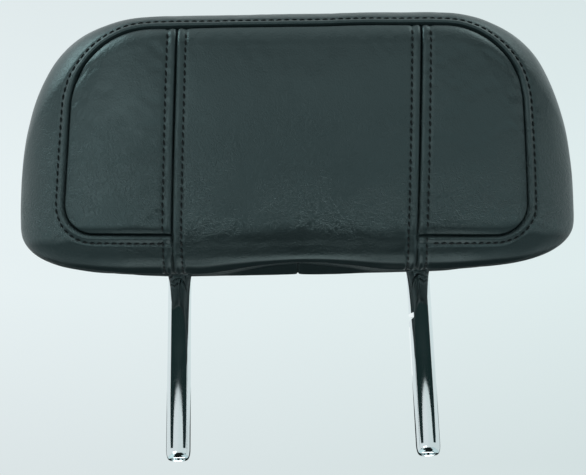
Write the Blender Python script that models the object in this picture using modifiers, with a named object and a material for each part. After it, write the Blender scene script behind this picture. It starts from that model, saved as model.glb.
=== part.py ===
"""A car head restraint: a leather-covered foam cushion on a bent steel tube with two chromed posts.

The posts stand along +Z with their lower ends at z = 0, midway round the origin. The front of the cushion
faces -Y and +X is to the right of someone who looks at that front. The cushion leans forward on its posts,
so its pieces are modelled in a frame of their own: x across, y from front to back, z up the front face.
Lengths are in metres and angles in degrees.
"""

import math

import bmesh
import bpy
from mathutils import Matrix, Vector

# The tube: two posts joined by a crossbar inside the cushion
POST_DIAMETER = 0.012
POST_SPACING = 0.124
POST_REACH = 0.1004
TUBE_WALL = 0.0015
END_BORE = 0.0070
END_RIM = 0.0009
END_TAPER = 0.0050
BEND_RADIUS = 0.035
CORNER_RADIUS = 0.024
BEND_ABOVE_COVER = 0.014
CROSSBAR_RISE = 0.070
NOTCH_BOTTOM = 0.0687
NOTCH_HEIGHT = 0.0038
NOTCH_DEPTH = 0.0022
NOTCH_RAMP = 0.0012

# How the cushion and the core inside it lean forward
CUSHION_LEAN = 21.0
CORE_TILT = 10.0

# The cushion's centre section, seen from the side
CUSHION_WIDTH = 0.2846
CUSHION_TOP = 0.1273
FRONT_REACH_BOTTOM = 0.0475
FRONT_REACH_TOP = 0.0455
BACK_REACH_BOTTOM = 0.044
BACK_REACH_TOP = 0.011
LIP_DROP = 0.0015
HEEL_DROP = 0.0060
LIP_RADIUS = 0.017
FRONT_TOP_RADIUS = 0.020
BACK_TOP_RADIUS = 0.022
HEEL_RADIUS = 0.014
FRONT_CROWN = 0.0020
TOP_CROWN = 0.0008
BACK_CROWN = 0.0040
CREST_HEIGHT = 0.0246
CREST_SETBACK = 0.008

# How the section shrinks and grows rounder towards the cushion's two ends
TOP_SHRINK_POWER = 7.0
BOTTOM_SHRINK_POWER = 4.3
BOTTOM_ROUNDNESS = 2.66
DEPTH_SHRINK_POWER = 4.0
ROUNDER_FROM = 0.55
ROUNDER_BY = 0.6

# The arch in the lower lip, between the posts
ARCH_HALF_WIDTH = 0.052
ARCH_RISE = 0.0052
ARCH_FADE = 0.022

# The seams of the cover
COVER_THICKNESS = 0.0030
SEAM_GAP = 0.0003
SIDE_PANEL_WIDTH = 0.0560
FACE_SEAM_BOTTOM = 0.0159
TOP_BAND_WIDTH = 0.0073
SIDE_BAND_WIDTH_BOTTOM = 0.0262
SIDE_BAND_WIDTH_TOP = 0.0312
FACE_BOTTOM_RADIUS = 0.016
FACE_TOP_RADIUS = 0.041
BACK_SEAM_BOTTOM = 0.024
BACK_SEAM_TOP = -0.006
FLAP_FRONT_INSET = 0.0703
FLAP_BACK_INSET = 0.0303
FLAP_FRONT = -0.012
CLOSURE_SLOT = 0.003

# The core: two moulded shells screwed together round the tube
CORE_HALF_WIDTH = 0.075
CORE_BOTTOM = 0.014
CORE_TOP = 0.082
CORE_HALF_DEPTH = 0.014
CORE_WALL = 0.0024
CORE_EDGE_RADIUS = 0.005
RIB_OFFSET = 0.025
SADDLE_RIB_HEIGHT = 0.034
SADDLE_RIB_LENGTH = 0.024
BOSS_RADIUS = 0.0040
LOWER_BOSS = (0.042, 0.026)
UPPER_BOSS = (0.012, 0.050)
SCREW_HEAD_RADIUS = 0.0032
SCREW_HEAD_HEIGHT = 0.0020
SCREW_SHANK_RADIUS = 0.0015
SCREW_LENGTH = 0.020

# The two hooked strips that close the cover under the cushion
STRIP_HALF_LENGTH = 0.044
STRIP_THICKNESS = 0.0014
STRIP_LEG = 0.011
STRIP_HOOK = 0.0045

FIT_GAP = 0.0003
ARC_STEPS = 4
TUBE_SIDES = 16
BORE_SIDES = 10

POST_RADIUS = POST_DIAMETER / 2
HALF_SPACING = POST_SPACING / 2
HALF_WIDTH = CUSHION_WIDTH / 2
HALF_SEAM = SEAM_GAP / 2
FACE_HALF_WIDTH_BOTTOM = HALF_WIDTH - SIDE_BAND_WIDTH_BOTTOM
FACE_HALF_WIDTH_TOP = HALF_WIDTH - SIDE_BAND_WIDTH_TOP
UPRIGHT_SEAM_OFFSET = FACE_HALF_WIDTH_BOTTOM - SIDE_PANEL_WIDTH
FACE_SEAM_TOP = CUSHION_TOP - TOP_BAND_WIDTH
FLAP_HALF_FRONT = HALF_WIDTH - FLAP_FRONT_INSET
FLAP_HALF_BACK = HALF_WIDTH - FLAP_BACK_INSET
ARCH_BACK = BACK_REACH_BOTTOM - 1.15 * HEEL_RADIUS
CORE_LEAN = CUSHION_LEAN + CORE_TILT
FAR = 0.4

for old in list(bpy.data.objects):
    bpy.data.objects.remove(old)

parts = bpy.data.collections.new("head_restraint")
cutters = bpy.data.collections.new("cutters")
bpy.context.scene.collection.children.link(parts)
bpy.context.scene.collection.children.link(cutters)


def finish(name, colour, roughness, metallic=0.0):
    """A plain material of one colour."""
    made = bpy.data.materials.new(name)
    made.use_nodes = True
    shader = made.node_tree.nodes["Principled BSDF"]
    shader.inputs["Base Color"].default_value = (*colour, 1.0)
    shader.inputs["Roughness"].default_value = roughness
    shader.inputs["Metallic"].default_value = metallic
    return made


leather = finish("black_leather", (0.030, 0.034, 0.035), 0.45)
chrome = finish("chromed_steel", (0.80, 0.82, 0.83), 0.06, 1.0)
foam = finish("moulded_foam", (0.16, 0.16, 0.165), 0.9)
plastic = finish("core_plastic", (0.05, 0.05, 0.055), 0.5)
zinc = finish("screw_steel", (0.60, 0.60, 0.62), 0.3, 1.0)
strip_plastic = finish("strip_plastic", (0.08, 0.08, 0.08), 0.4)


def empty(name, place, lean):
    """A frame that leans forward by that many degrees."""
    made = bpy.data.objects.new(name, None)
    made.location = place
    made.rotation_euler = (math.radians(lean), 0, 0)
    parts.objects.link(made)
    return made


def mesh_object(name, bm, material=None, parent=None):
    """A part where a material is given, and otherwise a cutter."""
    bmesh.ops.recalc_face_normals(bm, faces=bm.faces)
    mesh = bpy.data.meshes.new(name)
    bm.to_mesh(mesh)
    bm.free()
    made = bpy.data.objects.new(name, mesh)
    made.parent = parent
    if material is None:
        cutters.objects.link(made)
        made.hide_render = True
        made.display_type = "WIRE"
    else:
        parts.objects.link(made)
        mesh.materials.append(material)
    return made


def smooth(made, angle=35):
    made.data.shade_smooth()
    made.data.set_sharp_from_angle(angle=math.radians(angle))


def combine(made, other, operation="DIFFERENCE"):
    modifier = made.modifiers.new(other.name, "BOOLEAN")
    modifier.operation = operation
    modifier.object = other
    modifier.solver = "EXACT"


def box(name, low, high, material=None, parent=None, edge=0.0):
    """A box between two corners, with its edges rounded where edge isn't 0."""
    low, high = Vector(low), Vector(high)
    bm = bmesh.new()
    bmesh.ops.create_cube(bm, size=1.0)
    bmesh.ops.scale(bm, vec=high - low, verts=bm.verts)
    bmesh.ops.translate(bm, vec=(low + high) / 2, verts=bm.verts)
    if edge:
        bmesh.ops.bevel(bm, geom=bm.edges, offset=edge, segments=2, profile=0.5, affect="EDGES")
    return mesh_object(name, bm, material, parent)


def cylinder(name, radius, low, high, axis, sides=16, material=None, parent=None):
    """A cylinder between two points along its axis, which is X, Y or Z."""
    low, high = Vector(low), Vector(high)
    turn = {"X": Matrix.Rotation(math.pi / 2, 4, "Y"), "Y": Matrix.Rotation(math.pi / 2, 4, "X"), "Z": Matrix()}
    bm = bmesh.new()
    length = (high - low).length
    place = Matrix.Translation((low + high) / 2) @ turn[axis]
    bmesh.ops.create_cone(
        bm, cap_ends=True, segments=sides, radius1=radius, radius2=radius, depth=length, matrix=place
    )
    return mesh_object(name, bm, material, parent)


def prism(name, outline, axis, low, high, material=None, parent=None):
    """A flat outline extruded along X, along Y with the outline given as (x, z), or along Z."""
    bm = bmesh.new()
    if axis == "X":
        corners = [bm.verts.new((low, y, z)) for y, z in outline]
        travel = Vector((high - low, 0, 0))
    elif axis == "Z":
        corners = [bm.verts.new((x, y, low)) for x, y in outline]
        travel = Vector((0, 0, high - low))
    else:
        corners = [bm.verts.new((x, low, z)) for x, z in outline]
        travel = Vector((0, high - low, 0))
    face = bm.faces.new(corners)
    grown = bmesh.ops.extrude_face_region(bm, geom=[face])["geom"]
    bmesh.ops.translate(bm, vec=travel, verts=[v for v in grown if isinstance(v, bmesh.types.BMVert)])
    return mesh_object(name, bm, material, parent)


def rounded(corners, radii, steps=ARC_STEPS):
    """The corners of an outline or a path replaced by arcs. A radius of 0 leaves the corner or the end as it is."""
    points = []
    for i, (corner, radius) in enumerate(zip(corners, radii)):
        corner = Vector(corner)
        if radius <= 0:
            points.append([corner])
            continue
        before = (Vector(corners[i - 1]) - corner).normalized()
        after = (Vector(corners[(i + 1) % len(corners)]) - corner).normalized()
        half = before.angle(after) / 2
        centre = corner + (before + after).normalized() * radius / math.sin(half)
        start = corner + before * radius / math.tan(half) - centre
        end = corner + after * radius / math.tan(half) - centre
        sweep = start.angle(end)
        arc = []
        for step in range(steps + 1):
            t = step / steps
            mix = start * math.sin((1 - t) * sweep) + end * math.sin(t * sweep)
            arc.append(centre + mix / math.sin(sweep))
        points.append(arc)
    return points


def flat_outline(corners, radii, steps=8):
    return [tuple(p) for arc in rounded(corners, radii, steps) for p in arc]


# The tube

bend_height = POST_REACH + BEND_ABOVE_COVER
lean_forward = Vector((0, -math.sin(math.radians(CORE_LEAN)), math.cos(math.radians(CORE_LEAN))))
bar_middle = Vector((0, 0, bend_height)) + lean_forward * CROSSBAR_RISE


def tube_path():
    """The tube's centreline, from the left post's end over the crossbar to the right post's end."""
    across = Vector((HALF_SPACING, 0, 0))
    foot, bend = Vector((0, 0, 0)), Vector((0, 0, bend_height))
    corners = [foot - across, bend - across, bar_middle - across, bar_middle + across, bend + across, foot + across]
    arcs = rounded(corners, [0, BEND_RADIUS, CORNER_RADIUS, CORNER_RADIUS, BEND_RADIUS, 0])
    return [point for arc in arcs for point in arc]


def tube(name, path, radii, sides, material=None):
    """A mesh tube of that radius at each point of its path, with closed ends."""
    curve = bpy.data.curves.new(name, "CURVE")
    curve.dimensions = "3D"
    curve.bevel_depth = 1.0
    curve.bevel_resolution = sides // 2 - 2
    curve.use_fill_caps = True
    spline = curve.splines.new("POLY")
    spline.points.add(len(path) - 1)
    for point, place, radius in zip(spline.points, path, radii):
        point.co = (*place, 1.0)
        point.radius = radius
    guide = bpy.data.objects.new(name + "_guide", curve)
    cutters.objects.link(guide)
    bpy.context.view_layer.update()
    graph = bpy.context.evaluated_depsgraph_get()
    mesh = bpy.data.meshes.new_from_object(guide.evaluated_get(graph))
    bpy.data.objects.remove(guide)
    bm = bmesh.new()
    bm.from_mesh(mesh)
    bpy.data.meshes.remove(mesh)
    bmesh.ops.remove_doubles(bm, verts=bm.verts, dist=0.00001)
    return mesh_object(name, bm, material)


def with_ends(middle, end_profile):
    """The path and its radii, with the same profile of (height, radius) points at both posts' ends."""
    left = [(Vector((-HALF_SPACING, 0, height)), radius) for height, radius in end_profile]
    right = [(Vector((HALF_SPACING, 0, height)), radius) for height, radius in reversed(end_profile)]
    whole = left + middle + right
    return [point for point, _ in whole], [radius for _, radius in whole]


end_radius = END_BORE / 2 + END_RIM
nose = [
    (END_TAPER * (1 - math.cos(math.radians(turn))), end_radius + (POST_RADIUS - end_radius) * math.sin(math.radians(turn)))
    for turn in (0, 30, 60, 90)
]
inner_path = tube_path()[1:-1]
outer = with_ends([(p, POST_RADIUS) for p in inner_path], nose)
bore_radius = POST_RADIUS - TUBE_WALL
bore_profile = [(-0.002, END_BORE / 2), (END_TAPER * 0.8, END_BORE / 2), (END_TAPER * 1.4, bore_radius)]
bore = with_ends([(p, bore_radius) for p in inner_path], bore_profile)

post_frame = tube("post_frame", *outer, TUBE_SIDES, chrome)
combine(post_frame, tube("tube_bore", *bore, BORE_SIDES))
notch_wall = HALF_SPACING - POST_RADIUS + NOTCH_DEPTH
notch_top = NOTCH_BOTTOM + NOTCH_HEIGHT
notch_outline = [
    (HALF_SPACING - 2 * POST_RADIUS, NOTCH_BOTTOM - NOTCH_RAMP),
    (HALF_SPACING - POST_RADIUS, NOTCH_BOTTOM - NOTCH_RAMP / 2),
    (notch_wall, NOTCH_BOTTOM + NOTCH_RAMP / 2),
    (notch_wall, notch_top),
    (HALF_SPACING - 2 * POST_RADIUS, notch_top),
]
combine(post_frame, prism("notch_cutter", notch_outline, "Y", -2 * POST_RADIUS, 2 * POST_RADIUS))
smooth(post_frame)

# The cushion's form

cushion = empty("cushion_frame", (0, 0, POST_REACH), CUSHION_LEAN)


def centre_section():
    """The closed side outline through the cushion's middle, as (depth, height) points."""
    corners = [
        (-FRONT_REACH_BOTTOM, -LIP_DROP),
        (-FRONT_REACH_TOP, CUSHION_TOP),
        (BACK_REACH_TOP, CUSHION_TOP),
        (BACK_REACH_BOTTOM, -HEEL_DROP),
    ]
    arcs = rounded(corners, [LIP_RADIUS, FRONT_TOP_RADIUS, BACK_TOP_RADIUS, HEEL_RADIUS])
    sides = [(FRONT_CROWN, 6), (TOP_CROWN, 2), (BACK_CROWN, 6), (0.0, 5)]
    loop = []
    for i, (arc, (crown, steps)) in enumerate(zip(arcs, sides)):
        loop += arc
        start, end = arc[-1], arcs[(i + 1) % len(arcs)][0]
        along = (end - start).normalized()
        outward = Vector((-along.y, along.x))
        for step in range(1, steps):
            t = step / steps
            loop.append(start.lerp(end, t) + outward * crown * 4 * t * (1 - t))
    return loop


def ring_places():
    """Where the section rings stand across the cushion, as shares of half its width, from end to end."""
    outer_rings, inner_rings = 11, 4
    start = 0.5
    share = [start * (i + 0.5) / inner_rings for i in range(inner_rings)]
    first = math.asin(start ** (TOP_SHRINK_POWER / 2))
    for i in range(outer_rings):
        turn = first + (math.pi / 2 - first) * i / outer_rings
        share.append(math.sin(turn) ** (2 / TOP_SHRINK_POWER))
    return [-s for s in reversed(share)] + share


def ease(value, low, high):
    t = min(1.0, max(0.0, (value - low) / (high - low)))
    return t * t * (3 - 2 * t)


def softened(point, reach):
    """A point of the centre section, moved towards an ellipse for the sections near the ends."""
    deep, rise = point.x + CREST_SETBACK, point.y - CREST_HEIGHT
    wide = BACK_REACH_BOTTOM if deep > 0 else FRONT_REACH_BOTTOM - CREST_SETBACK
    tall = CUSHION_TOP - CREST_HEIGHT if rise > 0 else CREST_HEIGHT + HEEL_DROP
    size = math.hypot(deep / wide, rise / tall)
    middle = Vector((-CREST_SETBACK, CREST_HEIGHT))
    oval = middle + Vector((deep, rise)) / size
    return point.lerp(oval, ROUNDER_BY * ease(reach, ROUNDER_FROM, 1))


def placed(share, point):
    """A point of the centre section moved to a share of the cushion's half width, and shrunk as the ends round off."""
    reach = abs(share)
    point = softened(point, reach)
    top = math.sqrt(1 - reach**TOP_SHRINK_POWER)
    bottom = (1 - reach**BOTTOM_SHRINK_POWER) ** (1 / BOTTOM_ROUNDNESS)
    deep = math.sqrt(1 - reach**DEPTH_SHRINK_POWER)
    x = share * HALF_WIDTH
    y = -CREST_SETBACK + (point.x + CREST_SETBACK) * deep
    rise = point.y - CREST_HEIGHT
    z = CREST_HEIGHT + rise * (top if rise > 0 else bottom)
    if abs(x) < ARCH_HALF_WIDTH and rise < 0:
        across = (1 - (x / ARCH_HALF_WIDTH) ** 2) ** 2
        lip = ease(y, -FRONT_REACH_BOTTOM, -FRONT_REACH_BOTTOM + LIP_RADIUS)
        heel = ease(y, ARCH_BACK - ARCH_FADE, ARCH_BACK)
        low = 1 - ease(z, 0, LIP_RADIUS)
        z += ARCH_RISE * across * lip * (1 - heel) * low
    return Vector((x, y, z))


def cushion_form():
    """The cushion's closed outer surface: a sphere's rings, moved to the section rings."""
    loop, rings = centre_section(), ring_places()
    bm = bmesh.new()
    bmesh.ops.create_uvsphere(bm, u_segments=len(loop), v_segments=len(rings) + 1, radius=1.0)
    for vert in bm.verts:
        ring = round(math.acos(max(-1.0, min(1.0, vert.co.z))) / math.pi * (len(rings) + 1)) - 1
        if ring < 0 or ring >= len(rings):
            end = -HALF_WIDTH if ring < 0 else HALF_WIDTH
            vert.co = (end, -CREST_SETBACK, CREST_HEIGHT)
            continue
        turn = math.atan2(vert.co.y, vert.co.x) / (2 * math.pi) * len(loop)
        vert.co = placed(rings[ring], loop[round(turn) % len(loop)])
    bm.normal_update()
    bmesh.ops.recalc_face_normals(bm, faces=bm.faces)
    mesh = bpy.data.meshes.new("cushion_form")
    bm.to_mesh(mesh)
    bm.free()
    return mesh


form = cushion_form()


def form_object(name, material):
    made = bpy.data.objects.new(name, form.copy())
    made.parent = cushion
    made.data.materials.append(material)
    parts.objects.link(made)
    return made


# The cover's panels, cut from one skin along its seams

front_depth = (-2 * FRONT_REACH_BOTTOM, FLAP_FRONT)


def face_outline(grow):
    """The seam round the front face, as (x, z), moved outwards by grow."""
    low, high = FACE_SEAM_BOTTOM - grow, FACE_SEAM_TOP + grow
    wide, narrow = FACE_HALF_WIDTH_BOTTOM + grow, FACE_HALF_WIDTH_TOP + grow
    lower, upper = FACE_BOTTOM_RADIUS + grow, FACE_TOP_RADIUS + grow
    corners = [(-wide, low), (wide, low), (narrow, high), (-narrow, high)]
    return flat_outline(corners, [lower, lower, upper, upper])


def side_outline(side):
    """The outline of the left (-1) or right (1) panel of the front face, as (x, z)."""
    inner = side * (UPRIGHT_SEAM_OFFSET + HALF_SEAM)
    low, high = FACE_SEAM_BOTTOM + HALF_SEAM, FACE_SEAM_TOP - HALF_SEAM
    wide, narrow = side * (FACE_HALF_WIDTH_BOTTOM - HALF_SEAM), side * (FACE_HALF_WIDTH_TOP - HALF_SEAM)
    corners = [(inner, low), (wide, low), (narrow, high), (inner, high)]
    return flat_outline(corners, [0, FACE_BOTTOM_RADIUS, FACE_TOP_RADIUS, 0])


def back_volume(name, low, high, grow):
    """The space behind the back seam and over the flap under the cushion, between two x values."""
    slope = (BACK_SEAM_TOP - BACK_SEAM_BOTTOM) / CUSHION_TOP
    seam = [(BACK_SEAM_BOTTOM - slope * FAR - grow, -FAR), (BACK_SEAM_BOTTOM + slope * FAR - grow, FAR)]
    behind = prism(name, [*seam, (FAR, FAR), (FAR, -FAR)], "X", low, high, parent=cushion)
    corners = [(FLAP_HALF_FRONT, FLAP_FRONT), (FLAP_HALF_BACK, BACK_SEAM_BOTTOM), (FLAP_HALF_BACK, FAR / 4)]
    flap = [(min(high, x + grow), y - grow) for x, y in corners]
    flap += [(max(low, -x - grow), y - grow) for x, y in reversed(corners)]
    combine(behind, prism(name + "_flap", flap, "Z", -FAR / 4, LIP_RADIUS * 0.7, parent=cushion), "UNION")
    return behind


def panel(name, volume):
    """One piece of the skin: what of it lies inside a volume."""
    made = form_object(name, leather)
    thick = made.modifiers.new("thickness", "SOLIDIFY")
    thick.thickness = COVER_THICKNESS
    thick.offset = -1
    combine(made, volume, "INTERSECT")
    smooth(made)
    return made


centre_half = UPRIGHT_SEAM_OFFSET - HALF_SEAM
centre_low = (-centre_half, front_depth[0], -FAR / 4)
centre_high = (centre_half, FLAP_FRONT - CLOSURE_SLOT, FACE_SEAM_TOP - HALF_SEAM)
panel("front_centre_panel", box("centre_volume", centre_low, centre_high, parent=cushion))
for side, word in ((-1, "left"), (1, "right")):
    panel(f"front_{word}_panel", prism(f"{word}_volume", side_outline(side), "Y", *front_depth, parent=cushion))

band = form_object("side_band", leather)
thick = band.modifiers.new("thickness", "SOLIDIFY")
thick.thickness = COVER_THICKNESS
thick.offset = -1
combine(band, prism("face_cutter", face_outline(HALF_SEAM), "Y", *front_depth, parent=cushion))
lip_half = UPRIGHT_SEAM_OFFSET + HALF_SEAM
lip_low, lip_high = (-lip_half, front_depth[0], -FAR / 4), (lip_half, FLAP_FRONT, FACE_SEAM_TOP)
combine(band, box("lip_cutter", lip_low, lip_high, parent=cushion))
combine(band, back_volume("back_cutter", -FAR, FAR, HALF_SEAM))
smooth(band)

post_hole_radius = POST_RADIUS + 2 * FIT_GAP
for side, word in ((-1, "left"), (1, "right")):
    ends = sorted((side * HALF_SEAM, side * FAR))
    back = panel(f"back_{word}_panel", back_volume(f"back_{word}_volume", *ends, -HALF_SEAM))
    low, high = (side * HALF_SPACING, 0, 0), (side * HALF_SPACING, 0, POST_REACH + CREST_HEIGHT / 2)
    combine(back, cylinder(f"{word}_post_hole", post_hole_radius, low, high, "Z", 20))

# The core: two shells that clamp the tube

core = empty("core_frame", (0, 0, bend_height), CORE_LEAN)
clear_path = tube_path()
tube_clearance = tube("tube_clearance", clear_path, [POST_RADIUS + FIT_GAP] * len(clear_path), TUBE_SIDES)
bosses = [(side * x, z) for x, z in (LOWER_BOSS, UPPER_BOSS) for side in (-1, 1)]


def core_shell(name, side):
    """The front (-1) or rear (1) shell: a ribbed tray, open towards the tube."""
    split, wall = side * FIT_GAP / 2, side * CORE_HALF_DEPTH

    def slab(label, low_xz, high_xz, near, far, **more):
        y = sorted((near, far))
        return box(label, (low_xz[0], y[0], low_xz[1]), (high_xz[0], y[1], high_xz[1]), parent=core, **more)

    low, high = (-CORE_HALF_WIDTH, CORE_BOTTOM), (CORE_HALF_WIDTH, CORE_TOP)
    shell = slab(name, low, high, wall, -wall, material=plastic, edge=CORE_EDGE_RADIUS)
    inside_low = (-CORE_HALF_WIDTH + CORE_WALL, CORE_BOTTOM + CORE_WALL)
    inside_high = (CORE_HALF_WIDTH - CORE_WALL, CORE_TOP - CORE_WALL)
    combine(shell, slab(name + "_inside", inside_low, inside_high, wall - side * CORE_WALL, -wall * 2))
    buried = side * CORE_WALL / 2
    for sign in (-1, 1):
        rib = (sign * RIB_OFFSET - CORE_WALL / 2, CORE_BOTTOM + CORE_WALL / 2)
        rib_end = (sign * RIB_OFFSET + CORE_WALL / 2, CORE_TOP - CORE_WALL / 2)
        combine(shell, slab(f"{name}_rib_{sign + 1}", rib, rib_end, split, wall - buried), "UNION")
        tips = sorted((sign * (CORE_HALF_WIDTH - CORE_WALL / 2), sign * (CORE_HALF_WIDTH - SADDLE_RIB_LENGTH)))
        shelf, shelf_end = (tips[0], SADDLE_RIB_HEIGHT), (tips[1], SADDLE_RIB_HEIGHT + CORE_WALL)
        combine(shell, slab(f"{name}_saddle_{sign + 1}", shelf, shelf_end, split, wall - buried), "UNION")
    for i, (x, z) in enumerate(bosses):
        post = cylinder(f"{name}_boss_{i}", BOSS_RADIUS, (x, split, z), (x, wall - buried, z), "Y", 10, parent=core)
        combine(shell, post, "UNION")
    combine(shell, slab(name + "_trim", (-FAR, -FAR), (FAR, FAR), split, -side * FAR))
    combine(shell, tube_clearance)
    smooth(shell)
    return shell


carrier_front = core_shell("carrier_front", -1)
carrier_rear = core_shell("carrier_rear", 1)
head_seat = CORE_HALF_DEPTH - SCREW_HEAD_HEIGHT - 2 * FIT_GAP
for i, (x, z) in enumerate(bosses):
    pilot_low, through = (x, head_seat - SCREW_LENGTH - FIT_GAP, z), (x, CORE_HALF_DEPTH * 2, z)
    pilot = cylinder(f"pilot_{i}", SCREW_SHANK_RADIUS + FIT_GAP, pilot_low, through, "Y", 10, parent=core)
    combine(carrier_front, pilot)
    combine(carrier_rear, pilot)
    seat_low = (x, head_seat - FIT_GAP, z)
    combine(carrier_rear, cylinder(f"head_seat_{i}", SCREW_HEAD_RADIUS + FIT_GAP, seat_low, through, "Y", 10, parent=core))


def screw_mesh():
    """A pan-head screw turned about its axis, with its head up and the underside of the head at z = 0."""
    head = SCREW_HEAD_HEIGHT
    outline = [
        (0, head),
        (SCREW_HEAD_RADIUS * 0.75, head),
        (SCREW_HEAD_RADIUS, head * 0.4),
        (SCREW_HEAD_RADIUS, 0),
        (SCREW_SHANK_RADIUS, 0),
        (SCREW_SHANK_RADIUS, -SCREW_LENGTH + 2 * SCREW_SHANK_RADIUS),
        (0, -SCREW_LENGTH),
    ]
    mesh = bpy.data.meshes.new("carrier_screw")
    edges = [(i, i + 1) for i in range(len(outline) - 1)]
    mesh.from_pydata([(r, 0, z) for r, z in outline], edges, [])
    mesh.materials.append(zinc)
    return mesh


turned = screw_mesh()
for i, (x, z) in enumerate(bosses):
    screw = bpy.data.objects.new(f"carrier_screw_{i + 1}", turned)
    screw.parent = core
    screw.location = (x, head_seat, z)
    screw.rotation_euler = (-math.pi / 2, 0, 0)
    parts.objects.link(screw)
    turn = screw.modifiers.new("turn", "SCREW")
    turn.steps = turn.render_steps = 10
    turn.use_merge_vertices = True
    turn.merge_threshold = 0.00001

# The strips that hook the front panel to the flap

strip_floor = ARCH_RISE - LIP_DROP + COVER_THICKNESS + 2 * FIT_GAP
slot_middle = FLAP_FRONT - CLOSURE_SLOT / 2


def strip_outline(side):
    """A flat leg sewn to the cover and a hook that turns back over the other strip's hook, as (y, z)."""
    t, gap = STRIP_THICKNESS, FIT_GAP
    base = strip_floor
    if side < 0:
        return [
            (slot_middle - STRIP_LEG, base),
            (slot_middle - t - gap, base),
            (slot_middle - t - gap, base + STRIP_HOOK + t),
            (slot_middle + t + gap + t, base + STRIP_HOOK + t),
            (slot_middle + t + gap + t, base + t + gap),
            (slot_middle + t + gap, base + t + gap),
            (slot_middle + t + gap, base + STRIP_HOOK),
            (slot_middle - gap, base + STRIP_HOOK),
            (slot_middle - gap, base - t + t / 2),
            (slot_middle - STRIP_LEG, base - t + t / 2),
        ]
    return [
        (slot_middle, base - t / 2),
        (slot_middle + STRIP_LEG, base - t / 2),
        (slot_middle + STRIP_LEG, base + t / 2),
        (slot_middle + t, base + t / 2),
        (slot_middle + t, base + STRIP_HOOK - gap),
        (slot_middle, base + STRIP_HOOK - gap),
    ]


for side, word in ((-1, "front"), (1, "rear")):
    prism(f"{word}_closure_strip", strip_outline(side), "X", -STRIP_HALF_LENGTH, STRIP_HALF_LENGTH, strip_plastic, cushion)

# The foam: the cushion's form under its cover, with room for the core, the tube and the strips

foam_pad = form_object("foam_pad", foam)
inset = foam_pad.modifiers.new("under_cover", "DISPLACE")
inset.strength = -(COVER_THICKNESS + FIT_GAP)
inset.mid_level = 0.0
grown = FIT_GAP
envelope_low = (-CORE_HALF_WIDTH - grown, -CORE_HALF_DEPTH - grown, CORE_BOTTOM - grown)
envelope_high = (CORE_HALF_WIDTH + grown, CORE_HALF_DEPTH + grown, CORE_TOP + grown)
combine(foam_pad, box("core_cavity", envelope_low, envelope_high, parent=core, edge=CORE_EDGE_RADIUS))
combine(foam_pad, tube_clearance)
pocket_low = (-STRIP_HALF_LENGTH - grown, slot_middle - STRIP_LEG - grown, -FAR / 4)
pocket_high = (
    STRIP_HALF_LENGTH + grown,
    slot_middle + STRIP_LEG + grown,
    strip_floor + STRIP_HOOK + STRIP_THICKNESS + grown,
)
combine(foam_pad, box("strip_pocket", pocket_low, pocket_high, parent=cushion))
smooth(foam_pad)
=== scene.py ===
# %% [markdown]
# # A car head restraint
#
# A wide leather cushion on two chromed posts. It lies on its back in front of us, so we look at the padded
# front face and along the posts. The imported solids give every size. This script dresses them: it sews a
# leather cover from six panels, puts the thread in its seams, plates the posts and lights the whole.
#
# Lengths are in metres. "Local" means the cushion's own frame, which leans forward on the posts: x across,
# y from front to back and z up the front face.

# %% Load the solids
import math

import bmesh
import bpy
import numpy as np
from mathutils import Matrix, Vector, noise
from mathutils.bvhtree import BVHTree
from mathutils.kdtree import KDTree

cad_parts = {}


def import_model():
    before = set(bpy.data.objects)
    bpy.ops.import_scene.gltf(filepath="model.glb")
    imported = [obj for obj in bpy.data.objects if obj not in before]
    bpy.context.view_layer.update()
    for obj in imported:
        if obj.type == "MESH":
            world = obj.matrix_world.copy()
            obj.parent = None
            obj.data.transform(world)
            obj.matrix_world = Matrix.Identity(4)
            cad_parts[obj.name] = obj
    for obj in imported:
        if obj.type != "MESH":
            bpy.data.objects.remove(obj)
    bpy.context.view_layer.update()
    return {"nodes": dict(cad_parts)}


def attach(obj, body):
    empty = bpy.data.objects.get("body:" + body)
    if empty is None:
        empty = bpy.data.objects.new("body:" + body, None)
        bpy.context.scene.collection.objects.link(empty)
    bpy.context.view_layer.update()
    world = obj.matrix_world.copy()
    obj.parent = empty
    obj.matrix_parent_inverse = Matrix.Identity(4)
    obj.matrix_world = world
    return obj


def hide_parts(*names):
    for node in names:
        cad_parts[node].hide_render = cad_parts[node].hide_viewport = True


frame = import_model()
print("solids:", len(frame["nodes"]), "nodes")

# %% [markdown]
# ## The sizes that the solids were made from
#
# A cushion like this is cut from a drawing: the upholsterer works from the foam's outline and from the
# places of the seams. The same numbers are used here as in the solids, so that the leather fits them
# without any adjusting by eye. The posts come first, then the cushion, then the seams on it.

# %% Sizes of the posts
POST_RADIUS = 0.006
HALF_SPACING = 0.062
POST_REACH = 0.1004
END_BORE_RADIUS, END_BORE_DEPTH = 0.0035, 0.012
END_RADIUS = 0.0044
END_TAPER = 0.0050
BEND_RADIUS = 0.035
CORNER_RADIUS = 0.024
BEND_HEIGHT = 0.1144
CROSSBAR_RISE = 0.070
CORE_LEAN = math.radians(31)
NOTCH_BOTTOM, NOTCH_HEIGHT, NOTCH_DEPTH, NOTCH_RAMP = 0.0687, 0.0038, 0.0022, 0.0012

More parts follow.
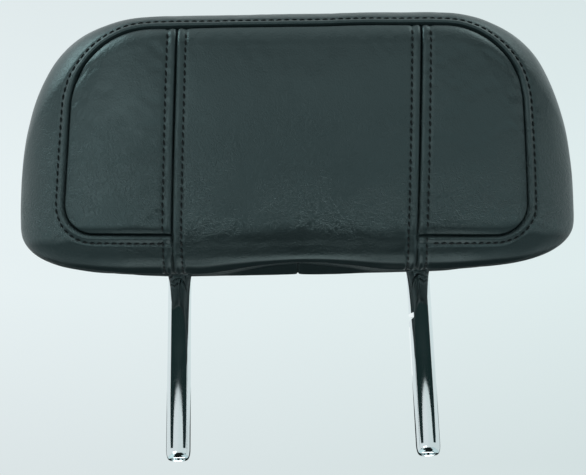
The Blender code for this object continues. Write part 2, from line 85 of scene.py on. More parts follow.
# %% Sizes of the cushion
LEAN = math.radians(21)
HALF_WIDTH = 0.1423
TOP = 0.1273
CREST, SETBACK = 0.0246, 0.008
TOP_POWER, BOTTOM_POWER, BOTTOM_ROUNDNESS, DEPTH_POWER = 7.0, 4.3, 2.66, 4.0
ROUNDER_FROM, ROUNDER_BY = 0.55, 0.6
FRONT_BOTTOM, FRONT_TOP, BACK_TOP, BACK_BOTTOM = 0.0475, 0.0455, 0.011, 0.044
LIP_DROP, HEEL_DROP = 0.0015, 0.0060
LIP_RADIUS, TOP_FRONT_RADIUS, TOP_BACK_RADIUS, HEEL_RADIUS = 0.017, 0.020, 0.022, 0.014
FRONT_CROWN, TOP_CROWN, BACK_CROWN = 0.0020, 0.0008, 0.0040
ARCH_HALF_WIDTH, ARCH_RISE, ARCH_FADE = 0.052, 0.0052, 0.022
ARCH_BACK = BACK_BOTTOM - 1.15 * HEEL_RADIUS

LOCAL = Matrix.Translation((0, 0, POST_REACH)) @ Matrix.Rotation(LEAN, 4, "X")
TO_WORLD = np.array(LOCAL)[:3, :3]


def world(points):
    """Local points, as an array, in the frame of the solids."""
    return np.asarray(points) @ TO_WORLD.T + np.array([0, 0, POST_REACH])


# %% Sizes of the seams
UPRIGHT = 0.0601
FACE_BOTTOM, FACE_TOP = 0.0159, 0.1200
FACE_WIDE, FACE_NARROW = 0.1161, 0.1111
FACE_BOTTOM_RADIUS, FACE_TOP_RADIUS = 0.016, 0.041
SKEW_TOP, SKEW_BOTTOM, DROOP, CORNER_DROOP = 0.0018, -0.0024, 0.020, 0.0013
BACK_SEAM_Y, BACK_SEAM_SLOPE = 0.024, -0.030 / TOP
FLAP_FRONT, FLAP_HALF_FRONT, FLAP_HALF_BACK = -0.012, 0.072, 0.112
SLOT = 0.003
SLOT_FRONT = FLAP_FRONT - SLOT
print("cushion:", round(2 * HALF_WIDTH, 4), "wide and", TOP, "high along its own face")

# %% [markdown]
# ## The camera
#
# The photograph looks up at the cushion from in front of the posts' ends, with the front face square to the
# lens. The camera's place was found from the posts, whose size and spacing are known, and from the
# cushion's outline. It comes first because every later look at the model goes through it.

# %% Camera
PHOTO_WIDTH, FOCAL_LENGTH_IN_PIXELS = 586, 1300
CAMERA_PLACE = (-0.0132, -0.6395, -0.1297)
CAMERA_ANGLES = (-0.95, -21.06, -1.41)


def placed(made):
    """The object, linked into the scene."""
    bpy.context.scene.collection.objects.link(made)
    return made


camera_data = bpy.data.cameras.new("camera")
camera_data.sensor_width = 36.0
camera_data.sensor_fit = "HORIZONTAL"
camera_data.lens = FOCAL_LENGTH_IN_PIXELS / PHOTO_WIDTH * camera_data.sensor_width
camera = placed(bpy.data.objects.new("camera", camera_data))
yaw, elevation, roll = (math.radians(angle) for angle in CAMERA_ANGLES)
level = math.cos(elevation)
ahead = Vector((-math.sin(yaw) * level, math.cos(yaw) * level, -math.sin(elevation)))
level_right = ahead.cross(Vector((0, 0, 1))).normalized()
level_up = level_right.cross(ahead)
right = level_right * math.cos(roll) + level_up * math.sin(roll)
up = level_up * math.cos(roll) - level_right * math.sin(roll)
aimed = Matrix((right, up, -ahead)).transposed().to_4x4()
camera.matrix_world = Matrix.Translation(CAMERA_PLACE) @ aimed
bpy.context.scene.camera = camera
bpy.context.scene.view_settings.view_transform = "Standard"
print("camera: lens", round(camera_data.lens, 1), "mm")

# %% [markdown]
# ## The cushion's form
#
# Under the leather is a block of moulded foam. Its side view is a rounded wedge: the front nearly straight,
# the back leaning, with a soft lip at the front of the underside. This first step draws that side view at
# the middle of the cushion, as four slightly crowned sides joined by round corners.

# %% The side view at the middle
CORNERS = [(-FRONT_BOTTOM, -LIP_DROP), (-FRONT_TOP, TOP), (BACK_TOP, TOP), (BACK_BOTTOM, -HEEL_DROP)]
CORNER_RADII = [LIP_RADIUS, TOP_FRONT_RADIUS, TOP_BACK_RADIUS, HEEL_RADIUS]
CROWNS = [FRONT_CROWN, TOP_CROWN, BACK_CROWN, 0.0]
SIDE_SPACING = 0.0012


def centre_section(steps=24):
    """The closed side outline at the middle, as (y, z) points, with crowned sides between rounded corners."""
    corners = [np.array(corner) for corner in CORNERS]
    arcs = []
    for i, (corner, radius) in enumerate(zip(corners, CORNER_RADII)):
        before, after = corners[i - 1] - corner, corners[(i + 1) % 4] - corner
        before, after = before / np.linalg.norm(before), after / np.linalg.norm(after)
        half = math.acos(before @ after) / 2
        centre = corner + (before + after) / np.linalg.norm(before + after) * radius / math.sin(half)
        start = corner + before * radius / math.tan(half) - centre
        end = corner + after * radius / math.tan(half) - centre
        sweep = math.acos((start @ end) / radius**2)
        t = np.linspace(0, 1, steps)[:, None]
        arcs.append(centre + (start * np.sin((1 - t) * sweep) + end * np.sin(t * sweep)) / math.sin(sweep))
    loop = []
    for i, crown in enumerate(CROWNS):
        loop.append(arcs[i])
        start, end = arcs[i][-1], arcs[(i + 1) % 4][0]
        along = (end - start) / np.linalg.norm(end - start)
        count = max(3, round(np.linalg.norm(end - start) / SIDE_SPACING))
        t = (np.arange(1, count) / count)[:, None]
        loop.append(start + (end - start) * t + np.array([-along[1], along[0]]) * crown * 4 * t * (1 - t))
    return np.concatenate(loop)


section = centre_section()
print("side view:", len(section), "points")

# %% [markdown]
# Across its width the section stays nearly the same until it rounds off at both ends, where it also grows
# rounder. Between the posts the underside rises in a shallow arch. A formula does all of this, so any place
# on the form can be had at any fineness. The sections stand evenly in the middle and crowd together at the
# ends.

# %% The whole form


def ease(value, low, high):
    """0 below low and 1 above high, with a smooth rise between them."""
    t = np.clip((value - low) / (high - low), 0.0, 1.0)
    return t * t * (3 - 2 * t)


def form_points(shares, section):
    """The section at each share of the half width, as an array of (share, section point, xyz)."""
    s, y = np.meshgrid(shares, section[:, 0], indexing="ij")
    z = np.meshgrid(shares, section[:, 1], indexing="ij")[1]
    reach = np.abs(s)
    deep, rise = y + SETBACK, z - CREST
    wide = np.where(deep > 0, BACK_BOTTOM, FRONT_BOTTOM - SETBACK)
    tall = np.where(rise > 0, TOP - CREST, CREST + HEEL_DROP)
    size = np.hypot(deep / wide, rise / tall)
    mix = ROUNDER_BY * ease(reach, ROUNDER_FROM, 1)
    y = y + mix * (deep / size - SETBACK - y)
    z = z + mix * (rise / size + CREST - z)
    top = np.sqrt(1 - reach**TOP_POWER)
    bottom = (1 - reach**BOTTOM_POWER) ** (1 / BOTTOM_ROUNDNESS)
    y = -SETBACK + (y + SETBACK) * np.sqrt(1 - reach**DEPTH_POWER)
    rise = z - CREST
    z = CREST + rise * np.where(rise > 0, top, bottom)
    x = s * HALF_WIDTH
    across = np.clip(1 - (x / ARCH_HALF_WIDTH) ** 2, 0, 1) ** 2
    lip = ease(y, -FRONT_BOTTOM, -FRONT_BOTTOM + LIP_RADIUS)
    heel = ease(y, ARCH_BACK - ARCH_FADE, ARCH_BACK)
    low = 1 - ease(z, 0, LIP_RADIUS)
    z = z + np.where(rise < 0, ARCH_RISE * across * lip * (1 - heel) * low, 0)
    return np.stack([x, y, z], -1)


MIDDLE_STEP, END_GAP = 0.0075, 0.002
middle_shares = np.arange(1, 110) * MIDDLE_STEP
outer_shares = np.sin(np.linspace(0, np.pi / 2, 160)) ** (2 / 5)
half_shares = np.concatenate([middle_shares, outer_shares[outer_shares > middle_shares[-1] + END_GAP]])
form_grid = form_points(np.concatenate([-half_shares[::-1], [0.0], half_shares]), section)
rings, around = form_grid.shape[:2]
print("form:", rings, "sections of", around, "points")

# %% [markdown]
# ## Finding points on the form
#
# A seam is drawn on the form by casting a line outwards from inside it: forwards for the seams of the front
# face, downwards for those underneath, and in the plane of the back seam for that one. Each hit is a point
# of the form, so a seam always lies on the surface. The faces' normals are kept too, because the leather
# stands off the form along them.

# %% Casting onto the form
INSIDE_Y, INSIDE_LOW, INSIDE_HIGH = -0.010, 0.030, 0.095
SPINE_X, SPINE_Z = 0.085, 0.060

ring_index = np.arange(rings * around).reshape(rings, around)
form_faces = []
for a, b in zip(ring_index[:-1], ring_index[1:]):
    form_faces += list(zip(a.tolist(), np.roll(a, -1).tolist(), np.roll(b, -1).tolist(), b.tolist()))
form_tree = BVHTree.FromPolygons(form_grid.reshape(-1, 3).tolist(), form_faces)

along_x = np.gradient(form_grid, axis=0)
along_loop = np.roll(form_grid, -1, axis=1) - np.roll(form_grid, 1, axis=1)
point_normals = np.cross(along_x, along_loop)
point_normals *= np.sign((point_normals * (form_grid - [0, INSIDE_Y, SPINE_Z])).sum())
quads = point_normals[:-1] + point_normals[1:]
face_normals = (quads + np.roll(quads, -1, axis=1)).reshape(-1, 3)
face_normals /= np.linalg.norm(face_normals, axis=1, keepdims=True)


def strike(start, direction):
    """The form's point and its outward normal in a direction."""
    point, _, face, _ = form_tree.ray_cast(Vector(start), Vector(direction).normalized())
    if point is None:
        raise ValueError(f"no form from {tuple(start)} along {tuple(direction)}")
    return np.array(point), face_normals[face]


def cast(start, direction):
    return strike(start, direction)[0]


def on_front(x, z):
    return cast((x, INSIDE_Y, z), (0, -1, 0))


def underneath(x, y):
    return cast((x, y, INSIDE_LOW), (0, 0, -1))


def outwards(point):
    """A line from deep inside the cushion through a point, as a start and a direction."""
    start = [np.clip(point[0], -SPINE_X, SPINE_X), INSIDE_Y, np.clip(point[2], INSIDE_LOW, INSIDE_HIGH)]
    return np.array(start), point - np.array(start)


print("the lip's front is at y", round(float(on_front(0, FACE_BOTTOM)[1]), 4))

# %% Lengths along a line


def length_of(line):
    return np.linalg.norm(np.diff(line, axis=0), axis=1).sum()


def run_along(line):
    """The distance along a line to each of its points."""
    return np.concatenate([[0], np.cumsum(np.linalg.norm(np.diff(line, axis=0), axis=1))])


def resampled(points, shares_along):
    """A path's points at those shares of its length."""
    points = np.asarray(points)
    run = run_along(points)
    at = np.asarray(shares_along) * run[-1]
    return np.stack([np.interp(at, run, points[:, k]) for k in range(3)], -1)


print("round the middle of the cushion:", round(float(length_of(form_grid[rings // 2])), 3))

# %% [markdown]
# ## Drawing the seams
#
# One half is drawn and the other is its mirror image. The front face is framed by one long seam with round
# corners, drawn here as it would be on a pattern, flat. The angle of each of its points, seen from a spot
# inside the cushion's end, finds its partner on the seam round the back.

# %% The outline of the front face


def face_outline():
    """The seam round the right half of the front face, bottom to top, as (x, z) points on its corners."""
    lean = math.atan2(FACE_WIDE - FACE_NARROW, FACE_TOP - FACE_BOTTOM)
    fall = (FACE_NARROW - FACE_WIDE) / (FACE_TOP - FACE_BOTTOM)
    low_z, high_z = FACE_BOTTOM + FACE_BOTTOM_RADIUS, FACE_TOP - FACE_TOP_RADIUS
    low_x = FACE_WIDE + fall * FACE_BOTTOM_RADIUS - FACE_BOTTOM_RADIUS / math.cos(lean)
    high_x = FACE_NARROW - fall * FACE_TOP_RADIUS - FACE_TOP_RADIUS / math.cos(lean)
    lower = (low_x, low_z, FACE_BOTTOM_RADIUS, np.linspace(-math.pi / 2, lean, 60))
    upper = (high_x, high_z, FACE_TOP_RADIUS, np.linspace(lean, math.pi / 2, 90))
    points = [(UPRIGHT, FACE_BOTTOM)]
    for x, z, radius, turns in (lower, upper):
        points += [(x + radius * math.cos(turn), z + radius * math.sin(turn)) for turn in turns]
    return np.array(points + [(0, FACE_TOP)])


outline = face_outline()
outline_turn = np.arctan2(outline[:, 1] - SPINE_Z, outline[:, 0] - SPINE_X)


def on_outline(turn):
    """The point of the face's seam at an angle round the spine."""
    return on_front(*(np.interp(turn, outline_turn, outline[:, k]) for k in (0, 1)))


print("face outline:", len(outline), "points")

# %% [markdown]
# The seam round the back lies in a leaning plane. Under the cushion it leaves that plane and runs forward
# beside the flap, the part of the cover that goes round the heel. The face seam and the back seam are drawn
# together, from the underside round the end to the middle of the top, so that a place on one has a partner
# on the other. The band of leather between them is later stretched from partner to partner.

# %% Pairs of points on the face seam and the back seam
LOW_TURN = -50
plane_up = np.array([0, BACK_SEAM_SLOPE, 1])


def seam_plane(x, z):
    return np.array([x, BACK_SEAM_Y + BACK_SEAM_SLOPE * z, z])


def back_seam_at(turn):
    reach = np.array([math.cos(turn), 0, 0]) + plane_up * math.sin(turn)
    return cast(seam_plane(SPINE_X, SPINE_Z), reach)


flap_back = np.array([FLAP_HALF_BACK, BACK_SEAM_Y])
flap_front = np.array([FLAP_HALF_FRONT, FLAP_FRONT])
flap_side = [underneath(*(flap_front + (flap_back - flap_front) * t)) for t in np.linspace(0, 1, 80)]
flap_side = [point for point in flap_side if point[1] < BACK_SEAM_Y + BACK_SEAM_SLOPE * point[2]]
flap_edge = [underneath(x, FLAP_FRONT) for x in np.linspace(UPRIGHT, FLAP_HALF_FRONT, 14)[:-1]]
start_turn = math.atan2(flap_side[-1][2] - SPINE_Z, flap_side[-1][0] - SPINE_X)
heel = [back_seam_at(turn) for turn in np.linspace(start_turn, math.radians(LOW_TURN), 14)[1:]]
rear_low = np.array(flap_edge + flap_side + heel)

front_half = [on_front(x, FACE_BOTTOM) for x in np.linspace(UPRIGHT, SPINE_X, 40)]
front_half += [on_outline(turn) for turn in np.linspace(-math.pi / 2, math.radians(LOW_TURN), 50)[1:]]
rear_half = list(resampled(rear_low, np.linspace(0, 1, len(front_half))))
for turn in np.radians(np.arange(LOW_TURN + 1, 91)):
    front_half.append(on_outline(turn))
    rear_half.append(back_seam_at(turn))
top_edge = outline[outline[:, 1] > 0.1][::-1]
for x in np.linspace(SPINE_X, 0, 90)[1:]:
    front_half.append(on_front(x, np.interp(x, top_edge[:, 0], top_edge[:, 1])))
    rear_half.append(cast(seam_plane(x, SPINE_Z), plane_up))
front_half, rear_half = np.array(front_half), np.array(rear_half)
print("half seams:", len(front_half), "pairs of points")

# %% [markdown]
# The upright seams run down the face, round the lip and under it to a narrow slot between the posts, where
# a strip holds the cover shut. The back has one seam down its middle, which ends at the front edge of the
# flap.

# %% Seams down the front and down the back
LIP_TOP, LIP_INSET = 0.022, 0.020
BACK_FAN_Z, BACK_FAN_FROM, BACK_FAN_TO = 0.045, math.radians(75), math.radians(-60)


def section_path(x, start_z, end_y):
    """Down the front from a height, round the lip and along the underside to a depth, at one x."""
    front = [on_front(x, z) for z in np.arange(start_z, LIP_TOP, -0.0008)]
    centre = np.array([x, -FRONT_BOTTOM + LIP_INSET, LIP_TOP])
    start = on_front(x, min(start_z, LIP_TOP)) - centre
    turns = np.linspace(math.atan2(-start[2], -start[1]), math.pi / 2, 70)
    lip = [cast(centre, (0, -math.cos(turn), -math.sin(turn))) for turn in turns]
    under = [underneath(x, y) for y in np.linspace(centre[1], end_y, 20)[1:]]
    return np.array(front + lip + under)


def down_the_back():
    """From the back seam at the top, down the back and round the heel to the flap's front edge."""
    turns = np.linspace(BACK_FAN_FROM, BACK_FAN_TO, 200)
    fan = [cast((0, INSIDE_Y, BACK_FAN_Z), (0, math.cos(turn), math.sin(turn))) for turn in turns]
    start = cast(seam_plane(0, SPINE_Z), plane_up)
    back = [start] + [point for point in fan if point[2] < start[2] - 0.001]
    under = [underneath(0, y) for y in np.linspace(back[-1][1], FLAP_FRONT, 30)[1:]]
    return np.array(back + under)


upright_seam = section_path(UPRIGHT, FACE_TOP, SLOT_FRONT)
lip_seam = section_path(UPRIGHT, FACE_BOTTOM, FLAP_FRONT)
centre_seam = down_the_back()
flap_front_edge = np.array([underneath(x, FLAP_FRONT) for x in np.linspace(0, UPRIGHT, 60)])
print("upright seam:", round(length_of(upright_seam), 3), "and back seam:", round(length_of(centre_seam), 3))

# %% [markdown]
# A sewn cover is pulled over its foam by hand and never sits quite true. Here the front has turned a
# little, and its upper right corner sits low. The solids stay symmetric: only the leather's front seams are
# shifted, by 1 to 3 mm, and cast onto the form again. The shift fades towards the sides, so the back stays
# true.

# %% Both halves, a little askew
FRONT_FADE, CORNER_FADE = (0.012, 0.030), (0.055, 0.095)


def mirrored(points):
    return np.asarray(points) * [-1, 1, 1]


def askew(points):
    """The same places when the front of the cover sits a little askew on its foam."""
    points = np.asarray(points)
    low = np.clip((FACE_TOP - points[:, 2]) / (FACE_TOP - FACE_BOTTOM), 0, 1)
    front = ease(-points[:, 1], *FRONT_FADE)
    corner = ease(points[:, 0], *CORNER_FADE)
    across = front * (SKEW_TOP + (SKEW_BOTTOM - SKEW_TOP) * low)
    down = front * (DROOP * points[:, 0] * low + CORNER_DROOP * corner * (1 - low))
    moved = points + np.stack([across, 0 * across, -down], -1)
    return np.array([cast(*outwards(point)) for point in moved])


seam_lines = {
    "face": askew(np.concatenate([mirrored(front_half), front_half[:-1][::-1]])),
    "upright_left": askew(mirrored(upright_seam)),
    "upright_right": askew(upright_seam),
    "lip_left": askew(mirrored(lip_seam)),
    "lip_right": askew(lip_seam),
    "back": np.concatenate([mirrored(rear_half), rear_half[:-1][::-1]]),
    "centre_back": centre_seam,
}
print("seams:", {seam: round(float(length_of(line)), 3) for seam, line in seam_lines.items()})

# %% [markdown]
# ## How high the leather stands
#
# What gives a sewn cover away as leather is how each piece behaves near its seam. It dips where the top
# stitch pulls it down, it rises over the folded seam allowance and it dives into the seam. All of that
# depends only on how far a point is from each seam, so every seam keeps a search tree of its points. The
# main panels round off towards the long seam of the face; the band carries a raised welt there. The lip
# also has a shallow hollow.

# %% Heights from distances
SEAM_STEP = 0.00015
RIDGE_WIDTH, DIP_WIDTH = 0.0009, 0.0010
PROFILE_PARTS = ("dive", "sharp", "ridge", "ridge_at", "dip", "dip_at", "round", "reach")
PROFILES_IN_MM = {
    "swell": (1.6, 0.45, 0, 1.0, 0, 1.0, 1.1, 3.0),
    "welt": (1.6, 0.45, 0.4, 1.9, 0.45, 4.3, 0, 1.0),
    "joined": (0.8, 0.4, 0, 2.0, 0, 5.0, 0.4, 2.5),
    "plain": (1.7, 0.4, 0.3, 2.1, 0.5, 4.6, 0.3, 6.0),
}
PANEL_SEAMS = {
    "front_centre": {"face": "swell", "upright_left": "plain", "upright_right": "plain"},
    "front_left": {"face": "swell", "upright_left": "plain"},
    "front_right": {"face": "swell", "upright_right": "plain"},
    "band": {"face": "welt", "lip_left": "plain", "lip_right": "plain", "back": "plain"},
    "back": {"back": "plain", "centre_back": "joined"},
}


def tree_of(points):
    """A search tree over a list of points."""
    tree = KDTree(len(points))
    for k, point in enumerate(points):
        tree.insert(Vector(point), k)
    tree.balance()
    return tree


def seam_height(d, profile):
    """The leather's height at a distance from a seam."""
    part = {name: value / 1000 for name, value in zip(PROFILE_PARTS, profile)}
    height = -part["dive"] * np.exp(-((d / part["sharp"]) ** 1.5))
    height += part["ridge"] * np.exp(-(((d - part["ridge_at"]) / RIDGE_WIDTH) ** 2))
    height -= part["dip"] * np.exp(-(((d - part["dip_at"]) / DIP_WIDTH) ** 2))
    return height - part["round"] * np.exp(-d / part["reach"])


seam_trees = {}
for seam, line in seam_lines.items():
    seam_trees[seam] = tree_of(resampled(line, np.linspace(0, 1, int(length_of(line) / SEAM_STEP))))
print("seam trees:", len(seam_trees))

# %% The height of a whole panel
LIP_HOLLOW, LIP_HOLLOW_AT, LIP_HOLLOW_WIDTH, LIP_FADE = 0.0013, 0.0095, 0.0055, (0.030, 0.042)
LONG_WAVE, LONG_WAVE_HEIGHT = 34, 0.00035
SHORT_WAVE, SHORT_WAVE_HEIGHT, SHORT_WAVE_SHIFT = 90, 0.00012, Vector((5, 1, 2))
DEEPEST, HIGHEST = -0.0026, 0.0012


def leather_heights(points, panel):
    """How far a panel's leather stands off the form at each of a list of points."""
    flat = np.asarray(points).reshape(-1, 3)
    height = np.zeros(len(flat))
    places = [Vector(point) for point in flat]
    for seam, kind in PANEL_SEAMS[panel].items():
        near = np.array([seam_trees[seam].find(place)[2] for place in places])
        height += seam_height(near, PROFILES_IN_MM[kind])
    if panel != "back":
        low = np.exp(-(((flat[:, 2] - LIP_HOLLOW_AT) / LIP_HOLLOW_WIDTH) ** 2))
        height -= LIP_HOLLOW * low * ease(-flat[:, 1], *LIP_FADE)
    height += np.array([noise.noise(place * LONG_WAVE) for place in places]) * LONG_WAVE_HEIGHT
    short = [noise.noise(place * SHORT_WAVE + SHORT_WAVE_SHIFT) for place in places]
    height += np.array(short) * SHORT_WAVE_HEIGHT
    return np.clip(height, DEEPEST, HIGHEST).reshape(np.asarray(points).shape[:-1])


print("height in the face's seam:", round(float(leather_heights(seam_lines["face"][:1], "band")[0]), 4))

# %% [markdown]
# ## Letting the leather settle
#
# A panel that is sewn down round its edges and packed from behind swells in the middle and puckers a little
# where it is held. Each panel is therefore run through a short cloth simulation on a coarse grid: its edges
# are pinned, the leather is cut a little large, and air presses from inside for twenty frames. The cloth is
# then thrown away: only how far each place rose is kept, up to a limit.


def pressed(start, faces, border):
    """Where the cloth's points are after the simulation."""
    mesh = bpy.data.meshes.new("settling")
    mesh.from_pydata(start.tolist(), [], faces)
    trial = placed(bpy.data.objects.new("settling", mesh))
    sewn = trial.vertex_groups.new(name="sewn")
    sewn.add(border, 1.0, "REPLACE")
    cloth = trial.modifiers.new("settle", "CLOTH")
    cloth.settings.quality = 6
    cloth.settings.mass = 0.4
    cloth.settings.tension_stiffness = 20
    cloth.settings.compression_stiffness = 20
    cloth.settings.bending_stiffness = 0.3
    cloth.settings.use_pressure = True
    cloth.settings.uniform_pressure_force = 4
    cloth.settings.shrink_min = -0.003
    cloth.settings.vertex_group_mass = "sewn"
    cloth.settings.effector_weights.gravity = 0
    cloth.collision_settings.use_collision = False
    for frame_number in range(1, 21):
        bpy.context.scene.frame_set(frame_number)
    shape = trial.evaluated_get(bpy.context.evaluated_depsgraph_get()).data
    moved = np.array([vertex.co for vertex in shape.vertices])
    bpy.context.scene.frame_set(1)
    bpy.data.objects.remove(trial)
    return moved


print("simulation:", "on")

# %% How far a panel rises
SETTLE_STEP, RISE_FADE = 0.0032, (0.004, 0.024)
SWELL = {"front_centre": 0.0012, "front_left": 0.0010, "front_right": 0.0010, "band": 0.0002, "back": 0.0010}


def smooth_reading(values, places):
    """Values at whole steps down the first axis, read off between the steps along a smooth curve."""
    last = len(values) - 1
    i = np.clip(places.astype(int), 0, last - 1)
    w = (places - i)[:, None]
    a, b, c, d = (values[np.clip(i + k, 0, last)] for k in (-1, 0, 1, 2))
    return b + 0.5 * w * (c - a + w * (2 * a - 5 * b + 4 * c - d + w * (3 * (b - c) + d - a)))


def coarse_pick(line):
    """Shares along a line, and which of its points to keep so that they stand a few millimetres apart."""
    run = run_along(line)
    shares = run / run[-1]
    wanted = np.linspace(0, 1, max(8, int(run[-1] / SETTLE_STEP)))
    return shares, np.searchsorted(shares, wanted).clip(0, len(line) - 1)


def settled(points, normals, limit):
    """How far each of a panel's points rises in the simulation."""
    rows, columns = points.shape[:2]
    down, pick_down = coarse_pick(points[:, columns // 2])
    across, pick_across = coarse_pick(points[rows // 2])
    picked = np.ix_(pick_down, pick_across)
    start = world(points[picked]).reshape(-1, 3)
    outward = normals[picked].reshape(-1, 3) @ TO_WORLD.T
    index = np.arange(len(start)).reshape(len(pick_down), len(pick_across))
    faces = np.stack([index[:-1, :-1], index[:-1, 1:], index[1:, 1:], index[1:, :-1]], -1)
    faces = faces.reshape(-1, 4).tolist()
    middle = faces[len(faces) // 2]
    turned = np.cross(start[middle[1]] - start[middle[0]], start[middle[3]] - start[middle[0]])
    if turned @ outward[middle[0]] < 0:
        faces = [face[::-1] for face in faces]
    border = np.unique(np.concatenate([index[0], index[-1], index[:, 0], index[:, -1]])).tolist()
    rise = ((pressed(start, faces, border) - start) * outward).sum(axis=1)
    print("settling:", len(start), "points rise up to", round(rise.max() * 1000, 2), "mm")
    rise = (rise * min(1, limit / max(rise.max(), 1e-6))).reshape(index.shape)
    rise = smooth_reading(rise, np.interp(down, down[pick_down], np.arange(len(pick_down))))
    rise = smooth_reading(rise.T, np.interp(across, across[pick_across], np.arange(len(pick_across)))).T
    return rise * ease(points[..., 2], *RISE_FADE)


# %% [markdown]
# ## Cutting and laying the panels
#
# Each panel is a grid stretched between four edges that lie on the form. The inner points are first blended
# from the edges and then pushed out onto the form, so the grid follows it closely. Rows are finer beside
# the seams, where the shape changes within a millimetre.


def graded(length, tight, middle):
    """Shares from 0 to 1 with steps that grow from tight at both ends to middle."""
    count = max(16, int(length / (tight + (middle - tight) * 0.74)))
    t = np.linspace(0, 1, count)
    step = tight + (middle - tight) * np.sin(np.pi * t) ** 0.6
    total = np.concatenate([[0], np.cumsum((step[1:] + step[:-1]) / 2)])
    return total / total[-1]


def paired(first, second, shares_along):
    """Two lines whose points are partners, both taken at those shares of the first one's length."""
    run = run_along(first)
    whole = np.arange(len(run))
    index = np.interp(np.asarray(shares_along) * run[-1], run, whole)
    return [np.stack([np.interp(index, whole, line[:, k]) for k in range(3)], -1) for line in (first, second)]


def stretched(top, bottom, left, right, u, v, reach=None):
    """A grid between four edges. top and bottom have a point for each u, and left and right run along v.
    The shape of the left and right edges is felt over that share of the width, or all across."""
    left, right = resampled(left, v), resampled(right, v)
    ruled = top[None] + (bottom - top)[None] * v[:, None, None]
    near_left, near_right = 1 - u, u
    if reach is not None:
        near_left = np.clip(1 - u / reach, 0, 1) ** 2
        near_right = np.clip(1 - (1 - u) / reach, 0, 1) ** 2
    pulled_left = near_left[None, :, None] * (left[:, None] - ruled[:, :1])
    return ruled + pulled_left + near_right[None, :, None] * (right[:, None] - ruled[:, -1:])


def laid(grid):
    """The grid's inner points pushed out onto the form, and the form's normal at every point."""
    points, normals = grid.copy(), np.empty_like(grid)
    rows, columns = grid.shape[:2]
    for i in range(rows):
        for j in range(columns):
            point, normals[i, j] = strike(*outwards(grid[i, j]))
            if 0 < i < rows - 1 and 0 < j < columns - 1:
                points[i, j] = point
    return points, normals


print("a 10 cm edge gets", len(graded(0.1, 0.0003, 0.0009)), "points")

# %% [markdown]
# The grid becomes a mesh in its raised place. Its outermost row turns in by a few millimetres, as a real
# edge is folded under before it is sewn, and that closes the seam. What a panel has swollen by is kept,
# because the stitches have to sit on the raised leather.

# %% The panel maker
TURN_IN = 0.0030
swelling = {}


def shown(name, bm):
    """A smooth-shaded object made from a bmesh."""
    mesh = bpy.data.meshes.new(name)
    bm.to_mesh(mesh)
    bm.free()
    mesh.shade_smooth()
    return placed(bpy.data.objects.new(name, mesh))


def fold_edge(bm, verts, deep):
    """Joins the grid's outermost points to their partners inside the cushion."""
    rows, columns = deep.shape[:2]
    rim = [(0, j) for j in range(columns)] + [(i, columns - 1) for i in range(1, rows)]
    rim += [(rows - 1, j) for j in range(columns - 2, -1, -1)] + [(i, 0) for i in range(rows - 2, 0, -1)]
    fold = [bm.verts.new(deep[place]) for place in rim]
    for k, place in enumerate(rim):
        following = (k + 1) % len(rim)
        bm.faces.new((verts[place], fold[k], fold[following], verts[rim[following]]))


def face_outwards(bm, point, outward):
    """Turns the faces over if the one nearest to a point looks inwards."""
    bm.normal_update()
    bmesh.ops.recalc_face_normals(bm, faces=bm.faces)
    nearest = min(bm.faces, key=lambda face: (face.calc_center_median() - Vector(point)).length_squared)
    if nearest.normal.dot(Vector(outward)) < 0:
        bmesh.ops.reverse_faces(bm, faces=bm.faces)


def sewn_panel(name, grid, panel, opening=None):
    """A panel's object: the grid laid on the form, raised to its heights, with its edge folded inwards."""
    points, normals = laid(grid)
    swell = settled(points, normals, SWELL[panel])
    swelling.setdefault(panel, []).append((tree_of(points.reshape(-1, 3)), swell.ravel()))
    height = leather_heights(points, panel) + swell
    lifted = world(points + normals * height[..., None])
    rows, columns = grid.shape[:2]
    kept = np.ones((rows, columns), bool)
    if opening is not None:
        lifted, kept = opening(lifted)
    bm = bmesh.new()
    verts = {}
    for i, j in zip(*np.nonzero(kept)):
        verts[i, j] = bm.verts.new(lifted[i, j])
    for i in range(rows - 1):
        for j in range(columns - 1):
            corners = [(i, j), (i, j + 1), (i + 1, j + 1), (i + 1, j)]
            if all(corner in verts for corner in corners):
                bm.faces.new([verts[corner] for corner in corners])
    fold_edge(bm, verts, world(points - normals * TURN_IN))
    face_outwards(bm, lifted[rows // 2, columns // 2], TO_WORLD @ normals[rows // 2, columns // 2])
    print(name, rows, "x", columns, "points")
    return shown(name, bm)


# %% [markdown]
# ## The front face
#
# The middle panel runs from the seam at the top, down the face, round the lip and a little way underneath,
# where a closing strip holds it.

# %% The middle panel
EDGE_STEP, CENTRE_STEP, SIDE_STEP = 0.00028, 0.0009, 0.0008
CENTRE_SIZE, SIDE_SIZE = (0.120, 0.155), (0.056, 0.100)

cover = {}
top_line = front_half[front_half[:, 2] > 0.1]
top_line = top_line[np.argsort(top_line[:, 0])]
top_x = np.linspace(0, UPRIGHT, 60)
top_middle = np.stack([top_x, *(np.interp(top_x, top_line[:, 0], top_line[:, k]) for k in (1, 2))], -1)
centre_top = askew(np.concatenate([mirrored(top_middle[:0:-1]), top_middle]))
centre_bottom = askew([underneath(x, SLOT_FRONT) for x in np.linspace(-UPRIGHT, UPRIGHT, 121)])
u, v = (graded(length, EDGE_STEP, CENTRE_STEP) for length in CENTRE_SIZE)
uprights = seam_lines["upright_left"], seam_lines["upright_right"]
grid = stretched(resampled(centre_top, u), resampled(centre_bottom, u), *uprights, u, v)
cover["front_centre"] = sewn_panel("front_centre_leather", grid, "front_centre")

# %% [markdown]
# The side panels have rounded outer corners, and a grid needs four of them. The middle of each rounding is
# taken as a corner, so that the grid's rows turn evenly through the curve.

